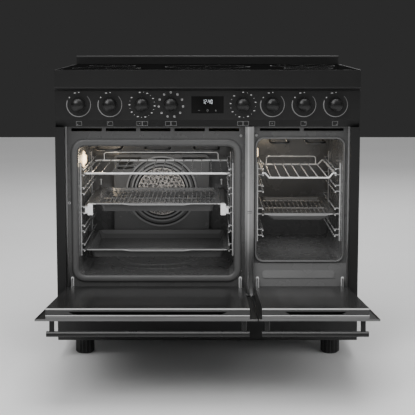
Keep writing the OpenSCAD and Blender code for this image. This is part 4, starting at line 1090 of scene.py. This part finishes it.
# screws in the fronts
screws = {
    "radius": 0.0042, "height": 0.0018, "points": 32,
    "dome": 0.6, "rim": 0.32, "sunk": 0.35,   # shares of the height and the radius
    # front node, distance from its left or right edge, distance below its top
    "places": (("main_front", 0.012, 0.028), ("main_front", -0.012, 0.028),
               ("main_front", 0.012, 0.44), ("main_front", -0.012, 0.44),
               ("aux_front", 0.0075, 0.0265), ("aux_front", -0.0075, 0.0265)),
}


def makeScrew(settings):
    radius, height = settings["radius"], settings["height"]
    clearSelection()
    bpy.ops.mesh.primitive_cylinder_add(vertices=settings["points"], radius=radius, depth=height)
    editFaces(looksUp)
    bpy.ops.mesh.bevel(offset=height * settings["dome"], segments=3, affect="EDGES")
    chooseFaces(lambda face: face.normal.z > 0.99)
    bpy.ops.mesh.inset(thickness=radius * settings["rim"])
    down = (0, 0, -height * settings["sunk"])
    bpy.ops.mesh.extrude_region_move(TRANSFORM_OT_translate={"value": down})
    bpy.ops.object.mode_set(mode="OBJECT")
    smoothBelow(35)
    return bpy.context.object


def makeScrews(settings):
    model = makeScrew(settings)
    copies = []
    for node, across, down in settings["places"]:
        low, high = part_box(node)
        copy = model.copy()
        copy.data = model.data.copy()
        bpy.context.scene.collection.objects.link(copy)
        x = low.x + across if across > 0 else high.x + across
        copy.rotation_euler = upright
        copy.location = (x, low.y - settings["height"] / 2, high.z - down)
        copies.append(copy)
    bpy.data.objects.remove(model)
    whole = setDown(joined(copies, "frontScrews"))
    dress(whole, materials["bare_steel"])
    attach(whole, "carcass")
    return whole


# crowned tops of the knobs, each with its pointer
knobTop = {
    "radius": 0.0172, "crown": 0.0058, "seat": 0.0003, "segments": 64, "rings": 96,
    "pointer": (0.0016, 0.0100, 0.0035),      # width, length and depth
    "pointerFrom": 0.0150,                    # its lower end, from the knob's middle
    "pointerSunk": 0.9, "pointerEdge": 0.3,   # shares of the depth and the width
}


def makeKnobTop(index, settings):
    low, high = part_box("knob_%d" % index)
    x, z = (low.x + high.x) / 2, (low.z + high.z) / 2
    radius, crown = settings["radius"], settings["crown"]
    ball = (radius * radius + crown * crown) / (2 * crown)   # radius of the ball it is cut from
    front = low.y + settings["seat"]
    clearSelection()
    bpy.ops.mesh.primitive_uv_sphere_add(segments=settings["segments"],
                                         ring_count=settings["rings"], radius=ball,
                                         rotation=upright, location=(x, front + ball - crown, z))
    top = bpy.context.object
    editAll()
    bpy.ops.mesh.bisect(plane_co=(x, front, z), plane_no=(0, 1, 0), clear_outer=True,
                        use_fill=True)
    bpy.ops.object.mode_set(mode="OBJECT")
    setDown(top)
    width, length, depth = settings["pointer"]
    bpy.ops.mesh.primitive_cube_add(size=1, location=(x, front + depth * settings["pointerSunk"],
                                                      z + settings["pointerFrom"] + length / 2))
    pointer = bpy.context.object
    pointer.scale = (width, depth, length)
    bpy.ops.object.transform_apply(location=False, rotation=False, scale=True)
    editAll()
    bpy.ops.mesh.bevel(offset=width * settings["pointerEdge"], segments=3, affect="EDGES")
    bpy.ops.object.mode_set(mode="OBJECT")
    setDown(pointer)
    whole = joined([top, pointer], "knobTop_%d" % index)
    smoothBelow(35)
    dress(whole, materials["knob"])
    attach(whole, "knob_%d" % index)
    return whole


makeHobMarks(hobMarks)
makePanelMarks(panelMarks)
makeClock(clock)
makeTouchSigns(touchSigns)
print("marks printed on the hob, the panel and the clock")
makeScrews(screws)
makeStripHole(stripHole)
makeSillPress(sillPress)
makeCoverRings(coverRings)
makeFloorRing(floorRing)
print("screws, hole and pressed shapes made")
for name, settings in seals.items():
    makeSeal(name, settings, sealShape)
for index in knobNumbers:
    makeKnobTop(index, knobTop)
print("seals and knob tops made")
